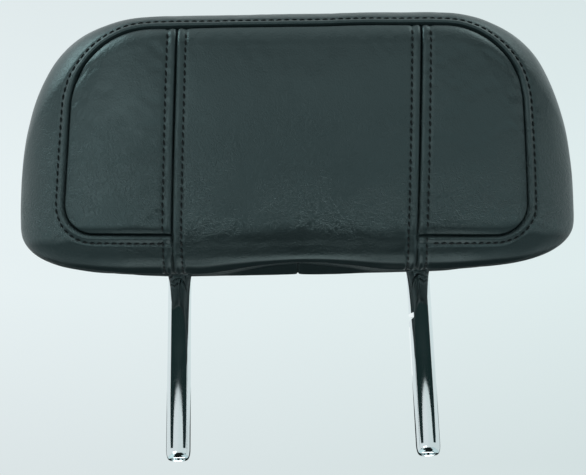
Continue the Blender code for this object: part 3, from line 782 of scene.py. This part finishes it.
# %% The side panels
CORNER_TURN = 52
side_loop = front_half[::-1][front_half[::-1][:, 0] > UPRIGHT + 0.0003]
side_loop = np.concatenate([[top_middle[-1]], side_loop])
turn = np.degrees(np.arctan2(side_loop[:, 2] - SPINE_Z, side_loop[:, 0] - SPINE_X))
upper, lower = np.argmin(abs(turn - CORNER_TURN)), np.argmin(abs(turn + CORNER_TURN))
side_top, side_outer = side_loop[: upper + 1], side_loop[upper : lower + 1]
side_bottom = side_loop[lower:][::-1]
side_bottom = np.concatenate([[front_half[0]], side_bottom[side_bottom[:, 0] > UPRIGHT + 0.0001]])
side_inner = np.array([on_front(UPRIGHT, z) for z in np.linspace(FACE_TOP, FACE_BOTTOM, 120)])
u, v = (graded(length, EDGE_STEP, SIDE_STEP) for length in SIDE_SIZE)
for side, word in ((1, "right"), (-1, "left")):
    edges = (side_top, side_bottom, side_inner, side_outer)
    top, bottom, inner, outer = (askew(edge * [side, 1, 1]) for edge in edges)
    grid = stretched(resampled(top, u), resampled(bottom, u), inner, outer, u, v)
    cover[f"front_{word}"] = sewn_panel(f"front_{word}_leather", grid, f"front_{word}")

# %% [markdown]
# ## The band
#
# One long piece goes from under the cushion on one side, up round the end, over the top and down to the
# other side. A real one is cut in a long curve and eased into place, which is why it is so smooth at the
# corners.

# %% Band
BAND_SIZE, BAND_LONG_STEP, BAND_END_REACH = (0.53, 0.060), 0.0005, 0.12
u, v = graded(BAND_SIZE[0], BAND_LONG_STEP, CENTRE_STEP), graded(BAND_SIZE[1], EDGE_STEP, SIDE_STEP)
face_line, back_line = paired(seam_lines["face"], seam_lines["back"], u)
grid = stretched(face_line, back_line, seam_lines["lip_left"], seam_lines["lip_right"], u, v, BAND_END_REACH)
cover["band"] = sewn_panel("band_leather", grid, "band")

# %% [markdown]
# ## The back
#
# The back is two pieces with a seam down the middle. They go on round the heel and under the cushion, where
# the posts come through. Each hole is drawn in round its post: the leather there is pulled snug against it.

# %% Holes for the posts
COLLAR_REACH, COLLAR_FROM, HOLE_RADIUS, COLLAR_GAP = 0.0085, 0.0050, 0.0046, 0.00015
COLLAR_LIFT, COLLAR_WIDTH, UNDERSIDE_BELOW = 0.0022, 0.0012, 0.125


def post_collar(side):
    """Keeps the leather clear of a post: points inside it go, and those at its surface are moved onto it."""

    def opening(points):
        centre = [side * HALF_SPACING, 0.0]
        near = points[..., :2] - centre
        r = np.linalg.norm(near, axis=-1)
        low = points[..., 2] < UNDERSIDE_BELOW
        snug = POST_RADIUS + COLLAR_GAP
        push = low & (r < COLLAR_REACH)
        share = np.clip((r - COLLAR_FROM) / (COLLAR_REACH - COLLAR_FROM), 0, 1)
        target = snug + (COLLAR_REACH - snug) * share
        scale = np.where(push, target / np.maximum(r, 1e-6), 1.0)
        lift = COLLAR_LIFT * np.clip(1 - (target - snug) / COLLAR_WIDTH, 0, 1) ** 2
        moved = points.copy()
        moved[..., :2] = near * scale[..., None] + centre
        moved[..., 2] += np.where(push, lift, 0)
        return moved, ~(low & (r < HOLE_RADIUS))

    return opening


print("holes:", round(2 * (POST_RADIUS + COLLAR_GAP) * 1000, 1), "mm across")

# %% Back panels
BACK_SIZE, BACK_EDGE_STEP, BACK_CORNER_TURN = (0.110, 0.205), 0.00032, 55
back_edge = rear_half[::-1]
edge_turn = np.degrees(np.arctan2(back_edge[:, 2] - SPINE_Z, back_edge[:, 0] - SPINE_X))
upper = np.argmin(abs(edge_turn - BACK_CORNER_TURN))
lower = np.argmin(np.linalg.norm(back_edge[:, :2] - flap_front, axis=1))
back_top, back_outer = back_edge[: upper + 1], back_edge[upper : lower + 1]
back_bottom = np.concatenate([flap_front_edge[:-1], back_edge[lower:][::-1]])
u, v = graded(BACK_SIZE[0], BACK_EDGE_STEP, 0.0009), graded(BACK_SIZE[1], BACK_EDGE_STEP, 0.0010)
grid = stretched(resampled(back_top, u), resampled(back_bottom, u), centre_seam, back_outer, u, v)
cover["back_right"] = sewn_panel("back_right_leather", grid, "back", post_collar(1))
cover["back_left"] = sewn_panel("back_left_leather", mirrored(grid), "back", post_collar(-1))

# %% [markdown]
# ## Thread
#
# Top stitches run beside the seams at an even pitch. Each one is a short, slightly bowed piece of thread
# whose ends sink into the leather, and it lies a little aslant, as a lock stitch does. First come two
# helpers that any round bar can use: a ring of points, and the skin from ring to ring.

# %% Round bars


def ring(centre, one, other, radius, sides):
    """Points on a circle in the plane of two directions."""
    turns = 2 * math.pi * np.arange(sides) / sides
    return centre + (np.outer(np.cos(turns), one) + np.outer(np.sin(turns), other)) * radius


def skinned(bm, rings):
    """A closed bar through rings of points."""
    rings = [[bm.verts.new(point) for point in points] for points in rings]
    for a, b in zip(rings[:-1], rings[1:]):
        for q in range(len(a)):
            following = (q + 1) % len(a)
            bm.faces.new((a[q], a[following], b[following], b[q]))
    bm.faces.new(rings[0][::-1])
    bm.faces.new(rings[-1])


print("a ring of four:", ring(np.zeros(3), [1, 0, 0], [0, 1, 0], 1, 4).round(3).tolist())

# %% Stitches
PITCH, STITCH, THREAD, SLANT = 0.0038, 0.0032, 0.00046, 0.00022
THREAD_SIDES = 6
BOW = np.array([-0.00045, 0.0, 0.00016, 0.00020, 0.00016, 0.0, -0.00045])
ROUNDED_ENDS = [0.6, 0.85, 1, 1, 1, 0.85, 0.6]


def swell_at(points, panel):
    """How far a panel has swollen at each point of a line."""
    risen = []
    for point in points:
        found = [(tree.find(Vector(point)), values) for tree, values in swelling[panel]]
        nearest, values = min(found, key=lambda pair: pair[0][2])
        risen.append(values[nearest[1]])
    return np.array(risen)


def stitch_row(bm, line, panel):
    """Adds one row of stitches along a line on the form."""
    length = length_of(line)
    number = int(length / PITCH)
    for k in range(number):
        middle = (k + 0.5) * PITCH
        path = resampled(line, (middle + np.linspace(-0.5, 0.5, 7) * STITCH) / length)
        normals = np.array([strike(*outwards(point))[1] for point in path])
        centre = path + normals * (leather_heights(path, panel) + swell_at(path, panel) + BOW)[:, None]
        way = np.gradient(centre, axis=0)
        way /= np.linalg.norm(way, axis=1, keepdims=True)
        centre += np.cross(normals, way) * (np.linspace(-1, 1, 7) * SLANT)[:, None]
        rings = []
        for c, n, w, r in zip(centre, normals, way, ROUNDED_ENDS):
            across = np.cross(n, w)
            rings.append(world(ring(c, across, np.cross(w, across), THREAD * r, THREAD_SIDES)))
        skinned(bm, rings)
    return number


def thread_object(name, rows):
    bm = bmesh.new()
    total = sum(stitch_row(bm, *row) for row in rows)
    bmesh.ops.recalc_face_normals(bm, faces=bm.faces)
    print(name, total, "stitches")
    return shown(name, bm)


print("a stitch is", STITCH, "long and the next one starts after", PITCH)

# %% [markdown]
# The rows follow the seams at a set distance, on the leather as it was raised. Beside each upright seam
# there is a row on either side, the one on the outer side broken where it crosses the face's lower seam.
# The face has one row round it, on the band, and the back seam has a row on either side.

# %% Rows of stitches
SEAM_TO_ROW, WELT_TO_ROW = 0.0046, 0.0043
ROW_STEP, ROW_END, ROW_BREAK = 0.0008, 0.004, 0.0012


def row_beside(line, offset, side):
    """A line on the form at a distance from a seam, on its left (-1) or right (1)."""
    line = resampled(line, np.linspace(0, 1, int(length_of(line) / ROW_STEP)))
    along = np.gradient(line, axis=0)
    along /= np.linalg.norm(along, axis=1, keepdims=True)
    row = []
    for point, way in zip(line, along):
        normal = strike(*outwards(point))[1]
        row.append(cast(*outwards(point + np.cross(normal, way) * offset * side)))
    return np.array(row)


def without_ends(line):
    """A seam without its first and last few millimetres, where another seam crosses."""
    length = length_of(line)
    return resampled(line, np.linspace(ROW_END / length, 1 - ROW_END / length, 500))


upright_rows = []
for word in ("left", "right"):
    line = without_ends(seam_lines[f"upright_{word}"])
    for side in (-1, 1):
        row = row_beside(line, SEAM_TO_ROW, side)
        if abs(row[10, 0]) < UPRIGHT:
            upright_rows.append((row, "front_centre"))
        else:
            upright_rows.append((row[row[:, 2] > FACE_BOTTOM + ROW_BREAK], f"front_{word}"))
            upright_rows.append((row[row[:, 2] < FACE_BOTTOM - ROW_BREAK], "band"))
face_rows = [row_beside(without_ends(seam_lines["face"]), WELT_TO_ROW, side) for side in (-1, 1)]
band_row = max(face_rows, key=lambda row: row[len(row) // 2, 2])
back_line = without_ends(seam_lines["back"])
back_panels = ((-1, "back"), (1, "band"))
back_rows = [(row_beside(back_line, SEAM_TO_ROW, side), panel) for side, panel in back_panels]
threads = {
    "upright": thread_object("upright_thread", upright_rows),
    "band": thread_object("band_thread", [(band_row, "band")]),
    "back": thread_object("back_thread", back_rows),
}

# %% [markdown]
# ## The posts
#
# One steel tube is bent into a frame: two posts, a forward bend inside the cushion and a bar across the
# top. Its ends are swaged to a soft point, so that it enters its sleeves easily, and each has a short bore.
# The tube is skinned along its bent centre line, so its sides are smooth where the solids' are faceted.

# %% Tube
TUBE_SIDES = 64
STRAIGHT_STEP, STRAIGHT_STEPS = 0.004, 11
UP = Vector((0, 0, 1))


def bent(corners, radii, steps=16):
    """A path with rounded corners."""
    path = [corners[0]]
    for before, corner, after, radius in zip(corners[:-2], corners[1:-1], corners[2:], radii):
        a, b = (before - corner).normalized(), (after - corner).normalized()
        half = a.angle(b) / 2
        centre = corner + (a + b).normalized() * radius / math.sin(half)
        start = corner + a * radius / math.tan(half) - centre
        end = corner + b * radius / math.tan(half) - centre
        for k in range(steps + 1):
            path.append(centre + start.normalized().slerp(end.normalized(), k / steps) * radius)
    return path + [corners[-1]]


lean_up = Vector((0, -math.sin(CORE_LEAN), math.cos(CORE_LEAN))) * CROSSBAR_RISE
feet = Vector((-HALF_SPACING, 0, 0)), Vector((HALF_SPACING, 0, 0))
bends = [foot + UP * BEND_HEIGHT for foot in feet]
tops = [bend + lean_up for bend in bends]
corners = [feet[0], bends[0], tops[0], tops[1], bends[1], feet[1]]
inner = bent(corners, [BEND_RADIUS, CORNER_RADIUS, CORNER_RADIUS, BEND_RADIUS])[1:-1]
bore = [(END_BORE_DEPTH, -0.0001), (0.0006, 0.0), (0.0002, 0.0001), (0.0, 0.0004)]
end_steps = [(height, END_BORE_RADIUS + wider) for height, wider in bore]
for turn in np.linspace(0, math.pi / 2, 12):
    radius = END_RADIUS + (POST_RADIUS - END_RADIUS) * math.sin(turn)
    end_steps.append((END_TAPER * (1 - math.cos(turn)), radius))
end_steps += [(END_TAPER + STRAIGHT_STEP * k, POST_RADIUS) for k in range(1, STRAIGHT_STEPS + 1)]

stations = [(feet[0] + UP * height, radius, UP) for height, radius in end_steps]
for before, point, after in zip([feet[0]] + inner[:-1], inner, inner[1:] + [feet[1]]):
    stations.append((point, POST_RADIUS, (after - before).normalized()))
stations += [(feet[1] + UP * height, radius, -UP) for height, radius in reversed(end_steps)]
side_way = Vector((0, 1, 0))
rings = []
for point, radius, way in stations:
    side_way = (side_way - way * side_way.dot(way)).normalized()
    other = way.cross(side_way)
    rings.append(ring(np.array(point), np.array(side_way), np.array(other), radius, TUBE_SIDES))
bm = bmesh.new()
skinned(bm, rings)
bmesh.ops.recalc_face_normals(bm, faces=bm.faces)
post_tube = shown("post_frame_tube", bm)
print("tube:", len(stations), "rings")

# %% [markdown]
# One post has a notch for the height lock, ground across its side: flat at the top, where the lock catches,
# and sloped at the bottom, where it slides out. It is cut with a wedge, and the tube is then smoothed
# except at its sharp edges.

# %% Notch
notch_x = HALF_SPACING - POST_RADIUS
outer_x, inner_x, notch_top = notch_x - 0.003, notch_x + NOTCH_DEPTH, NOTCH_BOTTOM + NOTCH_HEIGHT
profile = [(outer_x, NOTCH_BOTTOM - NOTCH_RAMP * 1.5), (inner_x, NOTCH_BOTTOM + NOTCH_RAMP)]
profile += [(inner_x, notch_top), (outer_x, notch_top)]
wedge = bmesh.new()
skinned(wedge, [[(x, y, z) for x, z in profile] for y in (-0.01, 0.01)])
bmesh.ops.recalc_face_normals(wedge, faces=wedge.faces)
notch_cutter = shown("notch_cutter", wedge)
cut = post_tube.modifiers.new("notch", "BOOLEAN")
cut.object = notch_cutter
cut.operation = "DIFFERENCE"
cut.solver = "EXACT"
bpy.context.view_layer.objects.active = post_tube
bpy.ops.object.modifier_apply(modifier=cut.name)
bpy.data.objects.remove(notch_cutter)
post_tube.data.shade_smooth()
post_tube.data.set_sharp_from_angle(angle=math.radians(32))
print("posts:", len(post_tube.data.vertices), "points")

# %% [markdown]
# ## Materials
#
# Everything is drawn by procedures, in the pieces' own coordinates, so nothing has to be unwrapped. A small
# class shortens the calls: it adds nodes to a material or to the world and joins them by the names of their
# inputs.

# %% Node tools


class Nodes:
    """A node tree with short calls. An input is given by its name, or as i and its number."""

    def __init__(self, owner, coordinates="Object"):
        self.owner = owner
        owner.use_nodes = True
        self.tree = owner.node_tree
        self.place = self.add("TexCoord").outputs[coordinates]

    def add(self, kind, settings=None, **inputs):
        node = self.tree.nodes.new("ShaderNode" + kind)
        for key, value in (settings or {}).items():
            setattr(node, key, value)
        for key, value in inputs.items():
            self.put(node, key.replace("_", " "), value)
        return node

    def put(self, node, key, value):
        socket = node.inputs[int(key[1:])] if key[0] == "i" and key[1:].isdigit() else node.inputs[key]
        if isinstance(value, bpy.types.NodeSocket):
            self.tree.links.new(value, socket)
        else:
            socket.default_value = value

    def maths(self, operation, *values, clamp=False):
        node = self.add("Math", {"operation": operation, "use_clamp": clamp})
        for k, value in enumerate(values):
            self.put(node, f"i{k}", value)
        return node.outputs[0]

    def noise(self, scale, detail=3.0, roughness=0.5, place=None):
        node = self.add("TexNoise", Scale=scale, Detail=detail, Roughness=roughness)
        self.put(node, "Vector", place or self.place)
        return node.outputs["Fac"]

    def stretched(self, x, y, z):
        return self.add("Mapping", Scale=(x, y, z), Vector=self.place).outputs["Vector"]

    def height(self, direction):
        return self.add("SeparateXYZ", Vector=direction).outputs["Z"]

    def ranged(self, value, low, high, to_low, to_high):
        ends = {"From_Min": low, "From_Max": high, "To_Min": to_low, "To_Max": to_high}
        return self.add("MapRange", Value=value, **ends).outputs["Result"]

    def mixed(self, amount, low, high):
        return self.add("Mix", {"data_type": "RGBA"}, i0=amount, i6=low, i7=high).outputs[2]

    def creases(self, scale, width, place):
        """0 along fine curved lines and 1 between them."""
        away = self.maths("ABSOLUTE", self.maths("SUBTRACT", self.noise(scale, 3.0, 0.55, place), 0.5))
        return self.ranged(away, 0.0, width, 0.0, 1.0)

    def bump(self, height, distance, strength, normal=None):
        node = self.add("Bump", Distance=distance, Strength=strength, Height=height)
        if normal:
            self.put(node, "Normal", normal)
        return node.outputs["Normal"]

    def finish(self, **inputs):
        """Sets the surface's own inputs and gives back the material."""
        for key, value in inputs.items():
            self.put(self.tree.nodes["Principled BSDF"], key.replace("_", " "), value)
        return self.owner


# %% [markdown]
# Leather needs three scales: slow changes of tone and polish, the creases of use, and a fine pebble. The
# creases are the lines where a noise crosses its middle value, and they fade out up the face, because the
# lower part is what hands and heads press; their lines are darkened with painted shade. Leather that looks
# down mirrors little, and where it looks straight down it is matt and carries a little painted shade.

# %% Leather


def leather_material():
    m = Nodes(bpy.data.materials.new("leather"))
    patches = m.noise(60.0, 4.0)
    pebble = m.add("TexVoronoi", {"feature": "SMOOTH_F1"}, Scale=1150.0, Smoothness=0.6, Vector=m.place)
    coarse_creases = m.creases(230.0, 0.045, m.stretched(1.5, 1.0, 0.8))
    fine_creases = m.creases(520.0, 0.06, m.stretched(0.9, 1.0, 1.3))
    facing = m.height(m.add("NewGeometry").outputs["Normal"])
    open_to_light = m.ranged(facing, -0.62, -0.46, 0.28, 1.0)
    # Where the leather looks straight down it is matt, and painted shade darkens its colour.
    matt_and_painted_shade_below = m.ranged(facing, -0.97, -0.92, 1.0, 0.0)
    worn = m.ranged(m.height(m.place), 0.108, 0.160, 1.0, 0.18)
    worn = m.maths("MULTIPLY", worn, m.ranged(m.noise(28.0, 2.0), 0.38, 0.58, 0.45, 1.0))
    worn = m.maths("MULTIPLY", worn, open_to_light)

    dark, light = (0.0072, 0.0112, 0.0116, 1), (0.0098, 0.0148, 0.0153, 1)
    colour = m.mixed(m.ranged(m.noise(9.0, 2.0), 0.35, 0.65, 0, 1), dark, light)
    colour = m.mixed(m.ranged(patches, 0.4, 0.7, 0, 0.25), colour, (0.013, 0.0185, 0.019, 1))
    # Painted shade: the crease lines are darkened, most on the lower part, where the creases show.
    crease_painted_shade = m.maths("MULTIPLY", m.ranged(fine_creases, 0.0, 1.0, 0.4, 0.0), worn)
    colour = m.mixed(crease_painted_shade, colour, (0.003, 0.0045, 0.0048, 1))
    # Painted shade: leather that looks straight down is painted a little darker; the same mask makes it matt.
    colour = m.mixed(matt_and_painted_shade_below, colour, (0.0070, 0.0115, 0.0120, 1))
    polish = m.maths("MULTIPLY_ADD", matt_and_painted_shade_below, 0.5, m.ranged(patches, 0.3, 0.7, 0.34, 0.42))
    mirror = m.maths("MULTIPLY", open_to_light, m.ranged(facing, -0.97, -0.92, 0.10, 0.5))

    bumped = m.bump(m.noise(170.0, 3.0, 0.5), 0.0006, 0.28)
    bumped = m.bump(coarse_creases, 0.00026, worn, bumped)
    bumped = m.bump(fine_creases, 0.00020, worn, bumped)
    bumped = m.bump(pebble.outputs["Distance"], 0.0003, 0.24, bumped)
    bumped = m.bump(m.noise(2600.0, 3.0, 0.6), 0.0001, 0.2, bumped)
    m.finish(Base_Color=colour, Roughness=polish, Normal=bumped, IOR=1.66, Specular_IOR_Level=mirror)
    return m.finish(Specular_Tint=(0.77, 0.99, 1.0, 1), Coat_Weight=0.04, Coat_Roughness=0.2)


leather = leather_material()
print("leather:", len(leather.node_tree.nodes), "nodes")

# %% [markdown]
# The thread is duller and darker than the leather, with a twist along it. The plating is nearly a mirror,
# with faint marks along the posts from sliding in their sleeves. The pieces inside get plain finishes with
# a slight mottle, so that they hold up when the cover is taken off.

# %% Thread, plating and the inner pieces


def thread_material():
    m = Nodes(bpy.data.materials.new("thread"))
    twist = m.noise(900.0, 2.0, 0.5, m.stretched(1, 1, 1.6))
    strands = m.ranged(twist, 0.3, 0.7, 0, 1)
    colour = m.mixed(strands, (0.0020, 0.0035, 0.0038, 1), (0.0055, 0.0080, 0.0085, 1))
    bumped = m.bump(twist, 0.0003, 0.5)
    return m.finish(Base_Color=colour, Roughness=0.7, Normal=bumped, Specular_IOR_Level=0.2)


def chrome_material():
    m = Nodes(bpy.data.materials.new("chrome"))
    marks = m.noise(60.0, 6.0, 0.65, m.stretched(14, 14, 0.35))
    haze = m.noise(35.0, 3.0)
    polish = m.ranged(haze, 0.35, 0.7, 0.035, 0.075)
    colour = m.mixed(m.ranged(haze, 0.3, 0.7, 0, 1), (0.80, 0.84, 0.85, 1), (0.86, 0.89, 0.90, 1))
    return m.finish(Base_Color=colour, Metallic=1.0, Roughness=polish, Normal=m.bump(marks, 0.00004, 0.10))


def plain_material(name, colour, roughness, grain, metallic=0.0):
    m = Nodes(bpy.data.materials.new(name))
    mottle = m.noise(grain, 4.0)
    darker, lighter = ([c * share for c in colour] + [1] for share in (0.85, 1.15))
    shade = m.mixed(m.ranged(mottle, 0.3, 0.7, 0, 1), darker, lighter)
    polish = m.ranged(mottle, 0.3, 0.7, roughness - 0.06, roughness + 0.06)
    bumped = m.bump(mottle, 0.0003, 0.3)
    return m.finish(Base_Color=shade, Roughness=polish, Metallic=metallic, Normal=bumped)


thread, chrome = thread_material(), chrome_material()
foam = plain_material("moulded_foam", (0.030, 0.031, 0.032), 0.9, 700.0)
core = plain_material("core_plastic", (0.03, 0.03, 0.032), 0.5, 900.0)
zinc = plain_material("zinc_steel", (0.6, 0.6, 0.62), 0.35, 500.0, 1.0)
strip = plain_material("strip_plastic", (0.02, 0.021, 0.022), 0.5, 800.0)
print("finishes:", [finish.name for finish in (leather, thread, chrome, foam, core, zinc, strip)])

# %% [markdown]
# ## Putting the finishes on
#
# Each panel of leather takes the place of its solid, and the smooth tube that of the faceted one. All of
# them ride on the one body that the part has. The foam, the core, its screws and the closing strips stay as
# they were packed and only get a finish.

# %% Putting them on
COVERS = {
    "front_centre": "front_centre_panel",
    "front_left": "front_left_panel",
    "front_right": "front_right_panel",
    "band": "side_band",
    "back_left": "back_left_panel",
    "back_right": "back_right_panel",
}
for key, made in cover.items():
    made.data.materials.append(leather)
    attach(made, "root")
    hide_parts(COVERS[key])
for made in threads.values():
    made.data.materials.append(thread)
    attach(made, "root")
post_tube.data.materials.append(chrome)
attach(post_tube, "root")
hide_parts("post_frame")

INNER_FINISHES = {"foam_pad": foam, "carrier_front": core, "carrier_rear": core}
for name, node in frame["nodes"].items():
    finish = INNER_FINISHES.get(name, zinc if "screw" in name else strip)
    for k in range(len(node.data.materials)):
        node.data.materials[k] = finish
print("dressed:", len(cover), "panels,", len(threads), "threads and the tube")

# %% [markdown]
# ## The room
#
# The photograph was taken in a bright, plain room. A pale surround shows as the background and in whatever
# mirrors it, a little darker to the right and near the floor. What lights the object is a second, even
# tone, so that the background's shade can be set by itself.

# %% Surround
surround = Nodes(bpy.data.worlds.new("surround"), "Generated")
bpy.context.scene.world = surround.owner
split = surround.add("SeparateXYZ", Vector=surround.place)
to_the_right = surround.ranged(split.outputs["X"], -0.22, 0.22, 0, 1)
shade = surround.mixed(to_the_right, (0.800, 0.878, 0.892, 1), (0.740, 0.842, 0.847, 1))
from_low = surround.ranged(split.outputs["Z"], 0.19, 0.32, 0.89, 1.0)
to_high = surround.ranged(split.outputs["Z"], 0.40, 0.52, 1.0, 0.94)
seen = surround.add("Background", Color=shade, Strength=surround.maths("MULTIPLY", from_low, to_high))
lighting = surround.add("Background", Color=(0.74, 0.90, 0.93, 1), Strength=0.85)
ray = surround.add("LightPath").outputs
mirrored_ray = surround.maths("ADD", ray["Is Glossy Ray"], ray["Is Transmission Ray"], clamp=True)
seen_ray = surround.maths("ADD", ray["Is Camera Ray"], mirrored_ray, clamp=True)
choice = surround.add("MixShader", i0=seen_ray, i1=lighting.outputs[0], i2=seen.outputs[0])
surround.put(surround.tree.nodes["World Output"], "Surface", choice.outputs[0])
print("surround:", len(surround.tree.nodes), "nodes")

# %% [markdown]
# ## Lamps
#
# The light comes softly from a window on the upper left, with a weaker one on the right and a faint fill
# from low in front that lifts the lip. All three stand high or far enough to the side that the posts don't
# mirror them as white strips.

# %% Lamps
LIT_PLACE = (0, 0, 0.15)


def lamp(name, place, width, height, power, colour):
    """A rectangular lamp that looks at the object and isn't seen itself."""
    data = bpy.data.lights.new(name, "AREA")
    data.shape = "RECTANGLE"
    data.size = width
    data.size_y = height
    data.energy = power
    data.color = colour
    made = placed(bpy.data.objects.new(name, data))
    made.location = place
    made.rotation_euler = (Vector(LIT_PLACE) - Vector(place)).to_track_quat("-Z", "Y").to_euler()
    made.visible_camera = False


lamp("window_left", (-2.2, -0.8, 2.0), 1.6, 1.5, 31, (0.72, 0.98, 1.0))
lamp("window_right", (1.6, -0.6, 2.3), 1.2, 1.2, 9, (0.85, 1.0, 0.99))
lamp("low_fill", (-1.15, -1.7, -0.34), 1.3, 0.5, 3, (0.92, 1.0, 1.0))
print("lamps:", len(bpy.data.lights))

# %% [markdown]
# ## Cards for the reflections
#
# Leather and chrome show what stands round them. A photographer puts up cards for that, and these are seen
# by reflections only. Dark ones below and behind give the lip its dark line and the posts their dark upper
# part. Pale ones light the strip under that line and the notch. A small dark one just below each post's
# end, towards the camera, shades its tip.

# %% Flat cards
DARK, PALE, BRIGHT = (0.008, 0.012, 0.012, 1), (1.0, 1.05, 1.05, 1), (4.4, 4.9, 4.9, 1)


def glowing(name, colour):
    """A material that gives off an even colour."""
    m = Nodes(bpy.data.materials.new(name))
    glow = m.add("Emission", Color=colour, Strength=1.0)
    m.put(m.tree.nodes["Material Output"], "Surface", glow.outputs[0])
    return m.owner


def only_mirrored(made, colour):
    """Gives a card its colour and hides it from all but reflections."""
    made.data.materials.append(glowing(made.name, colour))
    made.visible_camera = False
    made.visible_diffuse = False
    made.visible_shadow = False


def card(name, corners, colour):
    mesh = bpy.data.meshes.new(name)
    mesh.from_pydata(corners, [], [(0, 1, 2, 3)])
    only_mirrored(placed(bpy.data.objects.new(name, mesh)), colour)


def level_card(name, left, right, front, back, z, colour=DARK):
    card(name, [(left, front, z), (right, front, z), (right, back, z), (left, back, z)], colour)


def standing_card(name, left, right, y, low, high, colour=DARK):
    card(name, [(left, y, low), (right, y, low), (right, y, high), (left, y, high)], colour)


level_card("dark_below", -0.35, 0.35, -1.15, -0.24, -0.5)
level_card("dark_near", -0.16, 0.16, -0.33, -0.085, -0.06)
standing_card("pale_notch", 0.045, 0.062, 0.012, 0.044, 0.070, PALE)
level_card("pale_below", -0.3, 0.3, -0.20, 0.30, -0.5, BRIGHT)
standing_card("dark_behind", -0.45, 0.45, 0.55, -0.50, 0.18)
for x, word in ((-HALF_SPACING, "left"), (HALF_SPACING, "right")):
    level_card(f"tip_{word}", x - 0.02, x + 0.02, -0.045, -0.006, -0.018)
print("flat cards: 7")

# %% [markdown]
# The posts' upper part mirrors something dark that stands in front of them and above. It is a curved card,
# and its lower edge is higher in the middle, which draws the pale flame at the foot of each post. The edge
# is given as an angle above the horizon for each angle to the side.

# %% Curved card and floor
CARD_DISTANCE, CARD_HEIGHT, CARD_TOP, CARD_SIDE = 2.6, 0.05, 27, 84
EDGE_AZIMUTHS = [0, 8, 20, 31, 40, 46, 50, 70, 84]
EDGE_ELEVATIONS = [14.2, 14.1, 13.9, 13.5, 12.9, 12.0, 8.5, 8.5, 13.0]
FLOOR_SIZE, FLOOR_Z = 8, -0.75

bm = bmesh.new()
columns = []
for azimuth in np.linspace(-CARD_SIDE, CARD_SIDE, 2 * CARD_SIDE + 1):
    edge = np.interp(abs(azimuth), EDGE_AZIMUTHS, EDGE_ELEVATIONS)
    aside, forward = math.sin(math.radians(azimuth)), -math.cos(math.radians(azimuth))
    column = []
    for tilt in np.radians(np.linspace(edge, CARD_TOP, 4)):
        flat, rise = CARD_DISTANCE * math.cos(tilt), CARD_DISTANCE * math.sin(tilt)
        column.append(bm.verts.new((aside * flat, forward * flat, CARD_HEIGHT + rise)))
    columns.append(column)
for before, after in zip(columns[:-1], columns[1:]):
    for k in range(3):
        bm.faces.new((before[k], after[k], after[k + 1], before[k + 1]))
only_mirrored(shown("dark_card", bm), (0.010, 0.022, 0.022, 1))

bpy.ops.mesh.primitive_plane_add(size=FLOOR_SIZE, location=(0, 0, FLOOR_Z))
floor = bpy.context.active_object
floor.name = "floor"
floor_paint = Nodes(bpy.data.materials.new("floor"))
floor.data.materials.append(floor_paint.finish(Base_Color=(0.74, 0.78, 0.78, 1), Roughness=0.8))
print("curved card:", len(columns), "columns")
